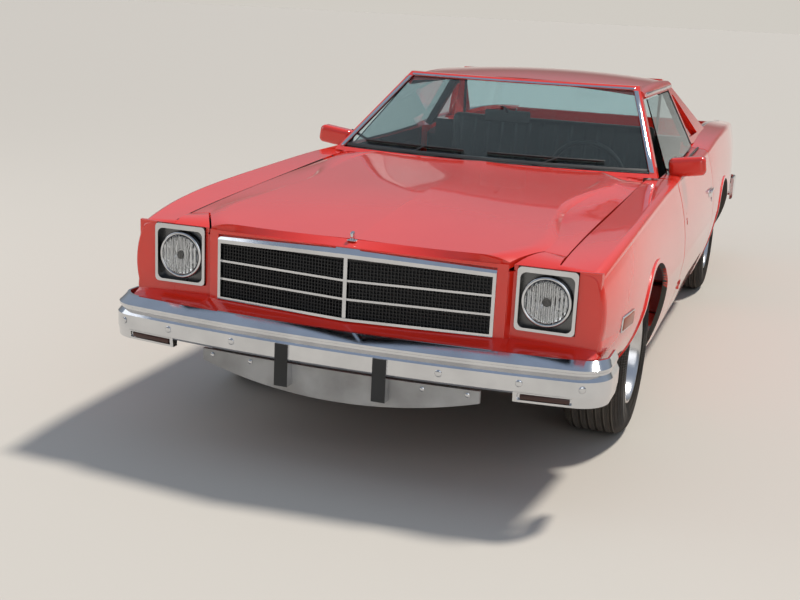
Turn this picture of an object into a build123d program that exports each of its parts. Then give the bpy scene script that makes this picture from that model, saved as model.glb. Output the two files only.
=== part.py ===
from build123d import *
import math
import os

# Coupe utility, in millimetres. The nose points along -Y, the driver's side is +X and +Z is up.
# The origin lies on the ground, midway between the bumpers.

# Whole vehicle
LENGTH = 5460.0
WHEELBASE = 2946.0
AXLE_TO_DOOR = 910.0
NOSE_Y = -LENGTH / 2
TAIL_Y = LENGTH / 2
DOOR_FRONT_Y = -750.0
FRONT_AXLE_Y = DOOR_FRONT_Y - AXLE_TO_DOOR
REAR_AXLE_Y = FRONT_AXLE_Y + WHEELBASE

# Running clearances
PANEL_GAP = 6.0
DOOR_FRONT_GAP = 12.0
SEAT_GAP = 0.3

# Wheels and tyres
TYRE_R = 334.0
TYRE_W = 250.0
TYRE_SHOULDER = 34.0
TYRE_FLATS = 60
RIM_R = 192.0
RIM_WALL = 10.0
RIM_W = 226.0
RIM_LIP = 12.0
WHEEL_X = 790.0
HUB_R = 62.0
HUB_PROUD = 12.0
DISC_OFFSET = 48.0
DISC_T = 26.0
SPOKES = 5
SPOKE_W = 58.0
SPINDLE_R = 18.0

# Steering and brakes
KINGPIN_X = 690.0
KNUCKLE_R = 24.0
KNUCKLE_HALF = 112.0
BALL_PIN_R = 11.0
ARM_T = 20.0
BRAKE_R = 138.0
BRAKE_T = 22.0

# Wheel arches
ARCH_R = 385.0
SKIRT_R = 436.0
HOUSE_R = 400.0
SHEET = 12.0

# Cab and doors
DOOR_LENGTH = 1330.0
DOOR_REAR_Y = DOOR_FRONT_Y + DOOR_LENGTH
DOOR_BOTTOM_Z = 297.0
DOOR_INNER_X = 820.0
ROCKER_INNER_X = 800.0
DOOR_HINGE_X = 945.0
DOOR_HINGE_BACK = 92.0
DOOR_TAPER = 14.0
DOOR_SWING = 66.0
DOOR_HINGE_ZS = (440.0, 740.0)
HINGE_PIN_R = 7.0
COWL_SIDE_X = 756.0
BELT_X = 838.0
BELT_Z = 948.0
CANT_X = 648.0
CANT_Z = 1296.0
GLASS_T = 6.0
FLOOR_Z = 352.0
TUNNEL_HALF = 165.0
TUNNEL_TOP = 530.0
CAB_BACK_Y = DOOR_REAR_Y + 60
SHELF_Z = 1014.0
PILLAR_T = 46.0
SEAT_HALF = 640.0
COLUMN_FOOT = (370.0, DOOR_FRONT_Y + 50, 640.0)
COLUMN_HEAD = (370.0, DOOR_FRONT_Y + 535, 850.0)
ROOF_RISE = 71.0
ROOF_Z = CANT_Z + ROOF_RISE

# Windscreen: half widths and heights of its foot and its head
SCREEN_FOOT_X = 776.0
SCREEN_FOOT_Y = DOOR_FRONT_Y - 34
SCREEN_FOOT_Z = BELT_Z + 18
SCREEN_HEAD_X = 590.0
SCREEN_HEAD_Y = SCREEN_FOOT_Y + 490
SCREEN_HEAD_Z = CANT_Z + 22
SCREEN_FOOT_BOW = 118.0
SCREEN_HEAD_BOW = 74.0

# Bonnet and nose
HOOD_FRONT_Y = NOSE_Y + 190
HOOD_REAR_Y = DOOR_FRONT_Y - 122
HOOD_REAR_BOW = 62.0
HOOD_T = 22.0
HOOD_HINGE_Z = 938.0
COWL_TOP_Z = 950.0
COWL_BACK_Y = SCREEN_FOOT_Y + 14
FENDER_FRONT_Y = NOSE_Y + 225
BROW_BACK_Y = NOSE_Y + 325
HOOD_CORNER_X = 572.0
BROW_BACK_X = 652.0
LID_GAP = 8.0
LID_T = 18.0
RADIATOR_Y = NOSE_Y + 370
RADIATOR_T = 20.0
NOSE_T = 60.0
GRILLE_HALF = 534.0
GRILLE_TOP = 824.0
GRILLE_RISE = 15.0
GRILLE_BOTTOM = 578.0
GRILLE_TOP_BAR = 33.0
GRILLE_SLANT = 16.0
GRILLE_ROWS = 3
GRILLE_CENTRE_Y = NOSE_Y + 112
GRILLE_END_Y = NOSE_Y + 170
GRILLE_DEPTH = 40.0
LAMP_X = 707.0
LAMP_Z = 724.0
LAMP_HALF_W = 106.0
LAMP_HALF_H = 112.0
LAMP_Y = NOSE_Y + 196
LAMP_R = 89.0

# Bumpers
BUMPER_TOP = 556.0
BUMPER_BOTTOM = 432.0
BUMPER_END_BOTTOM = 403.0
BUMPER_HALF = 956.0
BUMPER_BOW_HALF = 850.0
BUMPER_BOW = 64.0
BUMPER_END_Y = NOSE_Y + 314
LEDGE_DEPTH = 60.0
BUMPER_DEPTH = 28.0
BUMPER_END_T = 20.0
FACE_PUSH = 6.0
DROP_X = 650.0
PARK_SLOT = (664.0, 846.0)
GUARD_X = 186.0
GUARD_W = 52.0
GUARD_DEPTH = 40.0
GUARD_TOP = 494.0
GUARD_BOTTOM = 338.0
VALANCE_HALF = 532.0
VALANCE_TOP = 414.0
VALANCE_END = 371.0
VALANCE_BOTTOM = 300.0
VALANCE_T = 14.0
FILLER_GAP = 7.0
FILLER_TOP = 548.0
FILLER_BOTTOM = 488.0
FILLER_HALF = 903.0
REAR_BUMPER_TOP = 585.0
REAR_BUMPER_BOTTOM = 432.0

# Load bed
RAIL_UNDER_Z = 918.0
RAIL_INNER_X = 742.0
BED_FLOOR_Z = 640.0
BED_WALL_X = 790.0
BED_GROOVES = 4
BED_GROOVE_PITCH = 110.0
BED_GROOVE_W = 58.0
BED_GROOVE_DEPTH = 6.0
BED_END_Y = TAIL_Y - 130
HOUSE_HALF = 559.0
GATE_T = 56.0
GATE_RECESS = 9.0
GATE_JAMB = 46.0
GATE_HALF = BED_WALL_X - GATE_JAMB
GATE_TOP = 958.0
GATE_HINGE_Z = 634.0
GATE_Y = BED_END_Y + 22 + GATE_T / 2
GATE_PIN_R = 10.0
QUARTER_END_Y = BED_END_Y + 22 + GATE_T

# Body side by length: the lower edge, the widest line, the shoulder and the inner edge of its top
# columns: y, sill x, sill z, waist x, waist z, crest x, crest z, top x, top z
SIDE = [
    (FENDER_FRONT_Y, 866, 452, 904, 606, 880, 838, 742, 848),
    (FENDER_FRONT_Y + 205, 880, 430, 940, 606, 896, 876, 744, 868),
    (FRONT_AXLE_Y - 300, 888, 400, 964, 602, 906, 905, 750, 888),
    (FRONT_AXLE_Y, 890, 330, 969, 598, 906, 920, 757, 903),
    (FRONT_AXLE_Y + 460, 886, 240, 971, 588, 904, 938, 764, 928),
    (DOOR_FRONT_Y, 884, 226, 972, 580, 904, 946, 770, 944),
    (DOOR_FRONT_Y + 750, 884, 226, 973, 574, 906, 950, 780, 952),
    (DOOR_REAR_Y + 10, 884, 226, 973, 570, 908, 962, 772, 970),
    (REAR_AXLE_Y - 336, 886, 240, 973, 570, 912, 986, 760, 1004),
    (REAR_AXLE_Y, 888, 300, 972, 572, 914, 1000, 754, 1016),
    (REAR_AXLE_Y + 614, 884, 350, 960, 576, 908, 998, 752, 1014),
    (QUARTER_END_Y + 2, 858, 420, 904, 592, 866, 960, 748, 972),
]
Y, SILL_X, SILL_Z, WAIST_X, WAIST_Z, CREST_X, CREST_Z, TOP_X, TOP_Z = range(9)
SHOULDER_R = 30.0
SIDE_BULGE = 15.0
UNDER_BULGE = 14.0
FENDER_T = 16.0
LIP_PROUD = 5.0
LIP_W = 18.0

# Bonnet by length, in heights above its edge
# columns: y, crease rise, ridge inner x, its rise, ridge outer x, its rise
HOOD = [
    (HOOD_FRONT_Y, 18, 488, 18, HOOD_CORNER_X, 0),
    (BROW_BACK_Y, 18, 570, 19, BROW_BACK_X, 9),
    (FRONT_AXLE_Y - 540, 24, 600, 21, 660, 9),
    (FRONT_AXLE_Y + 160, 33, 566, 25, 616, 13),
    (HOOD_REAR_Y, 40, 538, 29, 588, 17),
]
RIDGE_BULGE = 4.0
FLANK_DISH = 3.0


# Body sections

def side(y, column):
    """A column of the body side table at any length, on a smooth curve through its rows."""
    last = len(SIDE) - 2
    i = max(0, min(last, sum(1 for row in SIDE if row[Y] <= y) - 1))
    y0, y1 = SIDE[i][Y], SIDE[i + 1][Y]
    v0, v1 = SIDE[i][column], SIDE[i + 1][column]

    def slope(k):
        a, b = SIDE[max(k - 1, 0)], SIDE[min(k + 1, last + 1)]
        return (b[column] - a[column]) / (b[Y] - a[Y])

    t = (y - y0) / (y1 - y0)
    span = y1 - y0
    return ((2 * t**3 - 3 * t**2 + 1) * v0 + (t**3 - 2 * t**2 + t) * span * slope(i)
            + (3 * t**2 - 2 * t**3) * v1 + (t**3 - t**2) * span * slope(i + 1))


def bowed(a, b, bulge):
    """An arc from a to b that stands out by bulge to the right of the way from a to b."""
    dx, dz = b[0] - a[0], b[2] - a[2]
    run = math.hypot(dx, dz)
    middle = ((a[0] + b[0]) / 2 + bulge * dz / run, a[1], (a[2] + b[2]) / 2 - bulge * dx / run)
    return ThreePointArc(a, middle, b)


def skin_edges(y, inset=0.0, reach=None):
    """The body side at y from the sill to its top, moved in by inset; the top ends at x = reach."""
    sill = (side(y, SILL_X) - inset, y, side(y, SILL_Z))
    waist = (side(y, WAIST_X) - inset, y, side(y, WAIST_Z))
    crest_x, crest_z = side(y, CREST_X) - inset, side(y, CREST_Z) - inset
    low = (crest_x + 7, y, crest_z - SHOULDER_R)
    crest = (crest_x - 6, y, crest_z - 6)
    top_x, top_z = side(y, TOP_X), side(y, TOP_Z) - inset
    rise = (top_z - crest_z) / (top_x - crest_x)
    inner = (crest_x - SHOULDER_R, y, crest_z - SHOULDER_R * rise)
    if reach is not None:
        top_x, top_z = reach, crest_z + (reach - crest_x) * rise
    return [
        bowed(sill, waist, UNDER_BULGE),
        bowed(waist, low, SIDE_BULGE),
        ThreePointArc(low, crest, inner),
        Line(inner, (top_x, y, top_z)),
    ]


def skin_strip(y, outset, depth):
    """The pressed sheet of the body side at y, between outset outside its surface and depth inside it."""
    outer, inner = skin_edges(y, -outset), skin_edges(y, depth)
    ends = [Line(outer[-1] @ 1, inner[-1] @ 1), Line(inner[0] @ 0, outer[0] @ 0)]
    return make_face(Wire([*outer, ends[0], *reversed(inner), ends[1]]))


def arch_lip(axle_y):
    """The turned edge of the left wheel arch at axle_y, a little proud of the side."""
    outer = ARCH_R + LIP_W
    strip = loft_along(lambda y: skin_strip(y, LIP_PROUD, FENDER_T - 2), axle_y - outer, axle_y + outer, 5)
    return strip & ring_x(outer, ARCH_R, 700, 1100, axle_y, TYRE_R)


def closed(edges, *points):
    """A face of the edges, closed through the points."""
    start, end = edges[0] @ 0, edges[-1] @ 1
    stops = [end, *points, start]
    lines = [Line(a, b) for a, b in zip(stops, stops[1:])]
    return make_face(Wire([*edges, *lines]))


def loft_along(section, y0, y1, count):
    """A smooth solid through count sections from y0 to y1."""
    return loft([section(y0 + (y1 - y0) * i / (count - 1)) for i in range(count)])


# Simple solids

def box(x0, x1, y0, y1, z0, z1):
    return Pos((x0 + x1) / 2, (y0 + y1) / 2, (z0 + z1) / 2) * Box(abs(x1 - x0), abs(y1 - y0), abs(z1 - z0))


def rod(radius, start, end):
    """A round bar from start to end."""
    start, end = Vector(*start), Vector(*end)
    plane = Plane(origin=start, z_dir=end - start)
    return extrude(plane * Circle(radius), amount=(end - start).length)


def beam(width, height, start, end):
    """A square bar from start to end, with its height as near upright as it goes."""
    start, end = Vector(*start), Vector(*end)
    along = (end - start).normalized()
    across = along.cross(Vector(0, 0, 1)).normalized()
    plane = Plane(origin=start - along * width / 4, x_dir=across, z_dir=along)
    return extrude(plane * Rectangle(width, height), amount=(end - start).length + width / 2)


def chain(shape, size, points):
    """Bars that join the points in a row."""
    solid = shape(*size, points[0], points[1])
    for a, b in zip(points[1:], points[2:]):
        solid += shape(*size, a, b)
    return solid


def cylinder_x(radius, x0, x1, y, z):
    return Pos((x0 + x1) / 2, y, z) * Rot(0, 90, 0) * Cylinder(radius, abs(x1 - x0))


def ring_x(outer, inner, x0, x1, y, z):
    low, high = min(x0, x1), max(x0, x1)
    return cylinder_x(outer, low, high, y, z) - cylinder_x(inner, low - 1, high + 1, y, z)


def plan(points, z0, z1):
    """A prism of the plan outline from z0 up to z1."""
    face = make_face(Polyline(*points, close=True))
    return Pos(0, 0, z0) * extrude(face, amount=z1 - z0)


def across(points, x0, x1):
    """A prism of the side outline, given as (y, z), from x0 to x1."""
    face = make_face(Polyline(*[(x0, y, z) for y, z in points], close=True))
    return extrude(face, amount=x1 - x0, dir=(1, 0, 0))


def other_side(shape):
    return mirror(shape, about=Plane.YZ)


def both_sides(shape):
    return shape + other_side(shape)


# Cab sides lean in from the belt to the cantrail
LEAN = Vector(CANT_Z - BELT_Z, 0, BELT_X - CANT_X).normalized()
CAB_SIDE = Plane(origin=(BELT_X, 0, BELT_Z), x_dir=(0, 1, 0), z_dir=LEAN)
CAB_RISE = math.hypot(CANT_Z - BELT_Z, BELT_X - CANT_X)


def leaning(points, outer, thickness):
    """A plate on the leaning cab side, from (y, share of the rise) points, outer below the surface."""
    flat = make_face(Polyline(*[(y, share * CAB_RISE) for y, share in points], close=True))
    return extrude(CAB_SIDE.offset(-outer) * flat, amount=-thickness)


# Wheels

def flats(rows, stretch=1.0):
    """A turned shape about X in flats, through (x, radius) rows; stretch widens every radius."""
    planes = [Plane(origin=(x, 0, 0), x_dir=(0, 1, 0), z_dir=(1, 0, 0)) for x, r in rows]
    rings = [plane * RegularPolygon(r * stretch, TYRE_FLATS) for plane, (x, r) in zip(planes, rows)]
    return loft(rings, ruled=True)


def wheel_parts(x, y, sign):
    """The tyre and the rim whose centre is at x, y, with the outer face towards sign."""
    half = TYRE_W / 2
    bead = RIM_W / 2 - RIM_LIP
    crown = TYRE_R - TYRE_SHOULDER
    lip = RIM_R + RIM_LIP + 2
    # columns: distance from the tyre's middle, radius
    left = [(-half, crown - TYRE_SHOULDER), (-half + 7, crown), (-half + TYRE_SHOULDER * 0.8, TYRE_R - 8),
            (-half + TYRE_SHOULDER * 1.5, TYRE_R)]
    carcass = flats(left + [(-x, r) for x, r in reversed(left)])
    carcass -= flats([(-half - 1, RIM_R), (half + 1, RIM_R)], 1 / math.cos(math.pi / TYRE_FLATS))
    for end in (-1, 1):
        carcass -= flats([(end * bead, lip), (end * (half + 1), lip + 12)])
    place = Pos(x, y, TYRE_R)
    tyre = place * carcass

    inner = RIM_R - RIM_WALL
    barrel = ring_x(RIM_R - SEAT_GAP, inner, -RIM_W / 2, RIM_W / 2, 0, 0)
    for end in (-1, 1):
        barrel += ring_x(RIM_R + RIM_LIP, inner, end * (RIM_W / 2 - RIM_LIP + 1), end * RIM_W / 2, 0, 0)
    face_x = sign * DISC_OFFSET
    hub = cylinder_x(HUB_R, face_x - sign * DISC_T, face_x + sign * HUB_PROUD, 0, 0)
    low_x = min(face_x - sign * DISC_T, face_x)
    arm = across([(-SPOKE_W / 2, HUB_R / 2), (SPOKE_W / 2, HUB_R / 2), (SPOKE_W * 0.72, inner + 2),
                  (-SPOKE_W * 0.72, inner + 2)], low_x, low_x + DISC_T)
    rib_x = min(face_x, face_x + sign * HUB_PROUD)
    arm += across([(-SPOKE_W / 4, HUB_R / 2), (SPOKE_W / 4, HUB_R / 2), (SPOKE_W * 0.36, inner - 26),
                   (-SPOKE_W * 0.36, inner - 26)], rib_x, rib_x + HUB_PROUD)
    for i in range(SPOKES):
        hub += Rot(360 * i / SPOKES, 0, 0) * arm
    bore = cylinder_x(SPINDLE_R + SEAT_GAP, -RIM_W, RIM_W, 0, 0)
    return tyre, place * (barrel + hub - bore)


def knuckle():
    """The left upright with its ball pins, backing plate and spindle."""
    upright = Pos(KINGPIN_X, FRONT_AXLE_Y, TYRE_R) * Cylinder(KNUCKLE_R, 2 * KNUCKLE_HALF)
    pins = Pos(KINGPIN_X, FRONT_AXLE_Y, TYRE_R) * Cylinder(BALL_PIN_R, 2 * (KNUCKLE_HALF + ARM_T))
    plate_x = KINGPIN_X + KNUCKLE_R + 4
    plate = cylinder_x(KNUCKLE_HALF - 8, plate_x, plate_x + BRAKE_T, FRONT_AXLE_Y, TYRE_R)
    spindle = cylinder_x(SPINDLE_R, KINGPIN_X, WHEEL_X + DISC_OFFSET, FRONT_AXLE_Y, TYRE_R)
    return upright + pins + plate + spindle


# Chassis

RAIL_W, RAIL_H = 80.0, 96.0
ENGINE_HALF = 270.0
ENGINE_BACK_Y = DOOR_FRONT_Y - 260
GEARBOX_END_Y = DOOR_FRONT_Y + 320
PIPE_R, SILENCER_R = 26.0, 75.0
TANK_HALF, TANK_H = 380.0, 190.0
FRONT_RAIL_X, FRONT_RAIL_Z = 428.0, 430.0
ARM_RAIL_Z = 388.0
CAB_RAIL_X, CAB_RAIL_Z = 712.0, FLOOR_Z - SHEET - SEAT_GAP - RAIL_H / 2
REAR_RAIL_X, REAR_RAIL_Z = 500.0, 500.0


def bumper_line(x):
    """Where the line that the front bumper's faces are set out from lies at x."""
    return NOSE_Y + 10 + BUMPER_BOW * (x / BUMPER_BOW_HALF) ** 2


def chassis_frame():
    """Two rails that run wide under the cab and rise over the rear axle, with cross members."""
    route = [
        (FRONT_RAIL_X, NOSE_Y + 180, FRONT_RAIL_Z), (FRONT_RAIL_X, FRONT_AXLE_Y - 420, FRONT_RAIL_Z),
        (FRONT_RAIL_X, FRONT_AXLE_Y - 250, ARM_RAIL_Z), (FRONT_RAIL_X, FRONT_AXLE_Y + 300, ARM_RAIL_Z),
        (CAB_RAIL_X, DOOR_FRONT_Y - 120, CAB_RAIL_Z), (CAB_RAIL_X, REAR_AXLE_Y - 560, CAB_RAIL_Z),
        (REAR_RAIL_X, REAR_AXLE_Y - 260, REAR_RAIL_Z), (REAR_RAIL_X, BED_END_Y - 30, REAR_RAIL_Z),
    ]
    frame = both_sides(chain(beam, (RAIL_W, RAIL_H), route))
    # columns: y, z, half length
    for y, z, half in ((NOSE_Y + 330, FRONT_RAIL_Z, FRONT_RAIL_X),
                       (DOOR_FRONT_Y + 190, CAB_RAIL_Z, CAB_RAIL_X),
                       (REAR_AXLE_Y + 330, REAR_RAIL_Z, REAR_RAIL_X),
                       (TAIL_Y - 190, REAR_RAIL_Z, REAR_RAIL_X)):
        frame += box(-half, half, y - 40, y + 40, z - 36, z + 36)
    x0, x1 = FRONT_RAIL_X - 30, FRONT_RAIL_X + 30
    reach = BUMPER_DEPTH + SEAT_GAP
    front = plan([(x0, bumper_line(x0) + reach), (x1, bumper_line(x1) + reach),
                  (x1, NOSE_Y + 190), (x0, NOSE_Y + 190)], BUMPER_BOTTOM + 4, FILLER_BOTTOM - 12)
    x0, x1 = REAR_RAIL_X - 30, REAR_RAIL_X + 30
    rear = plan([(x0, TAIL_Y - 44 - SEAT_GAP - x0 * 6 / 760), (x1, TAIL_Y - 44 - SEAT_GAP - x1 * 6 / 760),
                 (x1, BED_END_Y - 40), (x0, BED_END_Y - 40)], REAR_RAIL_Z - 30, REAR_RAIL_Z + 30)
    return frame + both_sides(front) + both_sides(rear)


def front_suspension():
    """A cross member below the engine with an upper and a lower arm to each knuckle."""
    z_low = TYRE_R - KNUCKLE_HALF - ARM_T
    z_high = TYRE_R + KNUCKLE_HALF + SEAT_GAP
    unit = box(-360, 360, FRONT_AXLE_Y - 90, FRONT_AXLE_Y + 90, 230, 300)
    for z in (z_low - SEAT_GAP, z_high):
        arm = plan([(KINGPIN_X + 26, FRONT_AXLE_Y - 24), (KINGPIN_X + 26, FRONT_AXLE_Y + 24),
                    (560, FRONT_AXLE_Y + 34), (330, FRONT_AXLE_Y + 130), (330, FRONT_AXLE_Y - 130),
                    (560, FRONT_AXLE_Y - 34)], z, z + ARM_T)
        eye = Pos(KINGPIN_X, FRONT_AXLE_Y, TYRE_R) * Cylinder(BALL_PIN_R + SEAT_GAP, 600)
        unit += both_sides(arm - eye)
    rail_face = FRONT_RAIL_X - RAIL_W / 2 - SEAT_GAP
    tower = box(318, rail_face, FRONT_AXLE_Y - 100, FRONT_AXLE_Y + 100, 202, 480)
    return unit + both_sides(tower)


def rear_axle():
    """The live axle with its drums, differential, propeller shaft and trailing arms."""
    stub = WHEEL_X + DISC_OFFSET
    axle = cylinder_x(38, -KINGPIN_X, KINGPIN_X, REAR_AXLE_Y, TYRE_R)
    axle += cylinder_x(SPINDLE_R, -stub, stub, REAR_AXLE_Y, TYRE_R)
    axle += Pos(0, REAR_AXLE_Y, TYRE_R) * Sphere(118)
    for s in (-1, 1):
        axle += cylinder_x(BRAKE_R, s * 690, s * 740, REAR_AXLE_Y, TYRE_R)
        arm_x = CAB_RAIL_X - RAIL_W / 2 - 30
        axle += beam(44, 44, (s * 560, REAR_AXLE_Y, TYRE_R - 44), (s * arm_x, REAR_AXLE_Y - 760, 236))
        spring_top = REAR_RAIL_Z - RAIL_H / 2 - SEAT_GAP
        axle += rod(52, (s * REAR_RAIL_X, REAR_AXLE_Y, TYRE_R), (s * REAR_RAIL_X, REAR_AXLE_Y, spring_top))
    axle += rod(40, (0, REAR_AXLE_Y, TYRE_R), (0, GEARBOX_END_Y + 3, 380))
    return axle


def engine_block():
    """The engine as one plain block with its gearbox behind it."""
    block = box(-ENGINE_HALF, ENGINE_HALF, FRONT_AXLE_Y - 60, ENGINE_BACK_Y, 330, 800)
    gearbox = box(-130, 130, ENGINE_BACK_Y, GEARBOX_END_Y, CAB_RAIL_Z + 36 + SEAT_GAP, 500)
    return block + gearbox


def exhaust_system():
    """Two pipes with silencers that pass above the axle and leave behind the rear wheels."""
    port_y, x, z = ENGINE_BACK_Y - 110, 330, 250
    route = [(ENGINE_HALF + SEAT_GAP, port_y, 420), (x, port_y, 420), (x, port_y + 80, z - 34),
             (x, DOOR_REAR_Y - 120, z - 34), (x, DOOR_REAR_Y - 60, z), (x, REAR_AXLE_Y - 276, z),
             (x - 30, REAR_AXLE_Y - 90, 424), (x - 30, REAR_AXLE_Y + 140, 424), (420, REAR_AXLE_Y + 474, 400),
             (640, TAIL_Y - 580, 380), (720, TAIL_Y - 70, 340)]
    pipe = chain(rod, (PIPE_R,), route)
    for point in route[1:-1]:
        pipe += Pos(*point) * Sphere(PIPE_R)
    silencer = rod(SILENCER_R, (x, DOOR_REAR_Y - 40, z), (x, REAR_AXLE_Y - 306, z))
    return both_sides(pipe + silencer)


def fuel_tank():
    """The tank strapped up against a sill of the bed."""
    top = REAR_RAIL_Z + RAIL_H / 2
    return box(-TANK_HALF, TANK_HALF, REAR_AXLE_Y + 554, TAIL_Y - 350, top - TANK_H, top)


# Body shell

def fender(y0, y1):
    """The left front wing as one pressed skin with its top."""
    wing = loft_along(lambda y: skin_strip(y, 0, FENDER_T), y0, y1, 5)
    return wing - cylinder_x(ARCH_R, 600, 1100, FRONT_AXLE_Y, TYRE_R) + arch_lip(FRONT_AXLE_Y)


def walled_section(y, inner_x, inset=0.0):
    """The body side at y, closed by an upright inner face at inner_x."""
    return closed(skin_edges(y, inset, inner_x), (inner_x, y, side(y, SILL_Z)))


def quarter_section(y):
    edges = skin_edges(y)
    top_x, top_z = side(y, TOP_X), side(y, TOP_Z)
    return closed(edges, (top_x, y, top_z - 26), (BED_WALL_X, y, top_z - 44),
                  (BED_WALL_X, y, BED_FLOOR_Z - SHEET), (BED_WALL_X + 20, y, side(y, SILL_Z)))


def quarter():
    """The left rear quarter from the door to the tail."""
    return loft_along(quarter_section, DOOR_REAR_Y + PANEL_GAP, QUARTER_END_Y, 6)


def body_side():
    """The left rocker and rear quarter, as thick as the wall of the load bed."""
    start = DOOR_REAR_Y + PANEL_GAP
    rocker = loft_along(lambda y: walled_section(y, ROCKER_INNER_X), DOOR_FRONT_Y, start + 20, 3)
    rocker &= box(700, 1100, DOOR_FRONT_Y, start + 20, 100, DOOR_BOTTOM_Z - PANEL_GAP)
    arch = cylinder_x(ARCH_R, 600, 1100, REAR_AXLE_Y, TYRE_R)
    jamb = box(GATE_HALF + 4, BED_WALL_X + 10, BED_END_Y + 1, QUARTER_END_Y,
               BED_FLOOR_Z - SHEET, GATE_TOP - 20)
    jamb -= cylinder_x(GATE_PIN_R + SEAT_GAP, GATE_HALF, BED_WALL_X, GATE_Y, GATE_HINGE_Z)
    tail = box(700, 1000, BED_END_Y + 36, QUARTER_END_Y + 50, 100, REAR_BUMPER_TOP + 10)
    return quarter() + jamb + rocker - arch - tail + arch_lip(REAR_AXLE_Y)


def hinge_straps():
    """The two fixed straps that carry the left door's hinge pins."""
    x, y = DOOR_HINGE_X, DOOR_FRONT_Y + DOOR_HINGE_BACK
    outline = [(x + 12, y - 12), (x + 12, y + 12), (x - 160, y + 12), (COWL_SIDE_X, y - 60),
               (COWL_SIDE_X, y - 130), (COWL_SIDE_X + 24, y - 130), (COWL_SIDE_X + 24, y - 64),
               (x - 152, y - 12)]
    straps = None
    for z in DOOR_HINGE_ZS:
        strap = plan(outline, z - 9, z + 9) + rod(HINGE_PIN_R, (x, y, z - 34), (x, y, z + 34))
        straps = strap if straps is None else straps + strap
    return straps


def hinge_pockets():
    """The room in the left door for its straps through the whole swing, with the bores of its pins."""
    x, y = DOOR_HINGE_X, DOOR_FRONT_Y + DOOR_HINGE_BACK
    reach, half = 260.0, 17.0
    swing = math.radians(DOOR_SWING)
    middle, last = math.pi + swing / 2, math.pi + swing
    aside = (-half * math.sin(last), half * math.cos(last))
    corner = [(x, y + half), (x - reach, y + half),
              (x + reach * math.cos(middle) * 1.2, y + reach * math.sin(middle) * 1.2),
              (x + reach * math.cos(last) + aside[0], y + reach * math.sin(last) + aside[1]),
              (x + aside[0], y + aside[1])]
    pockets = None
    for z in DOOR_HINGE_ZS:
        pocket = plan(corner, z - 15, z + 15) + rod(20, (x, y, z - 15), (x, y, z + 15))
        pocket += rod(HINGE_PIN_R + SEAT_GAP, (x, y, z - 40), (x, y, z + 40))
        pockets = pocket if pockets is None else pockets + pocket
    return pockets


def door():
    """The left door up to the belt, as thick as the whole door, with its mirror."""
    front, rear = DOOR_FRONT_Y, DOOR_REAR_Y
    shell = loft_along(lambda y: walled_section(y, DOOR_INNER_X), front, rear, 4)
    outline = [(1000, front), (1000, rear), (930, rear), (DOOR_INNER_X, rear - DOOR_TAPER),
               (DOOR_INNER_X, front + DOOR_TAPER), (930, front)]
    shell &= plan(outline, DOOR_BOTTOM_Z, 1100)
    mirror_y = front + 210
    stalk = rod(11, (880, mirror_y - 20, BELT_Z - 13), (915, mirror_y - 5, BELT_Z + 14))
    head = Pos(922, mirror_y, BELT_Z + 40) * Rot(0, -8, 0) * Box(178, 92, 92)
    return shell - hinge_pockets() + stalk + fillet(head.edges(), 26)


def door_glass():
    """The left door's frameless pane."""
    pane = [(DOOR_FRONT_Y + 190, -0.02), (DOOR_REAR_Y - 12, -0.02), (DOOR_REAR_Y - 12, 0.947),
            (DOOR_FRONT_Y + 532, 0.947)]
    return leaning(pane, 8, GLASS_T) - door()


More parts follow.
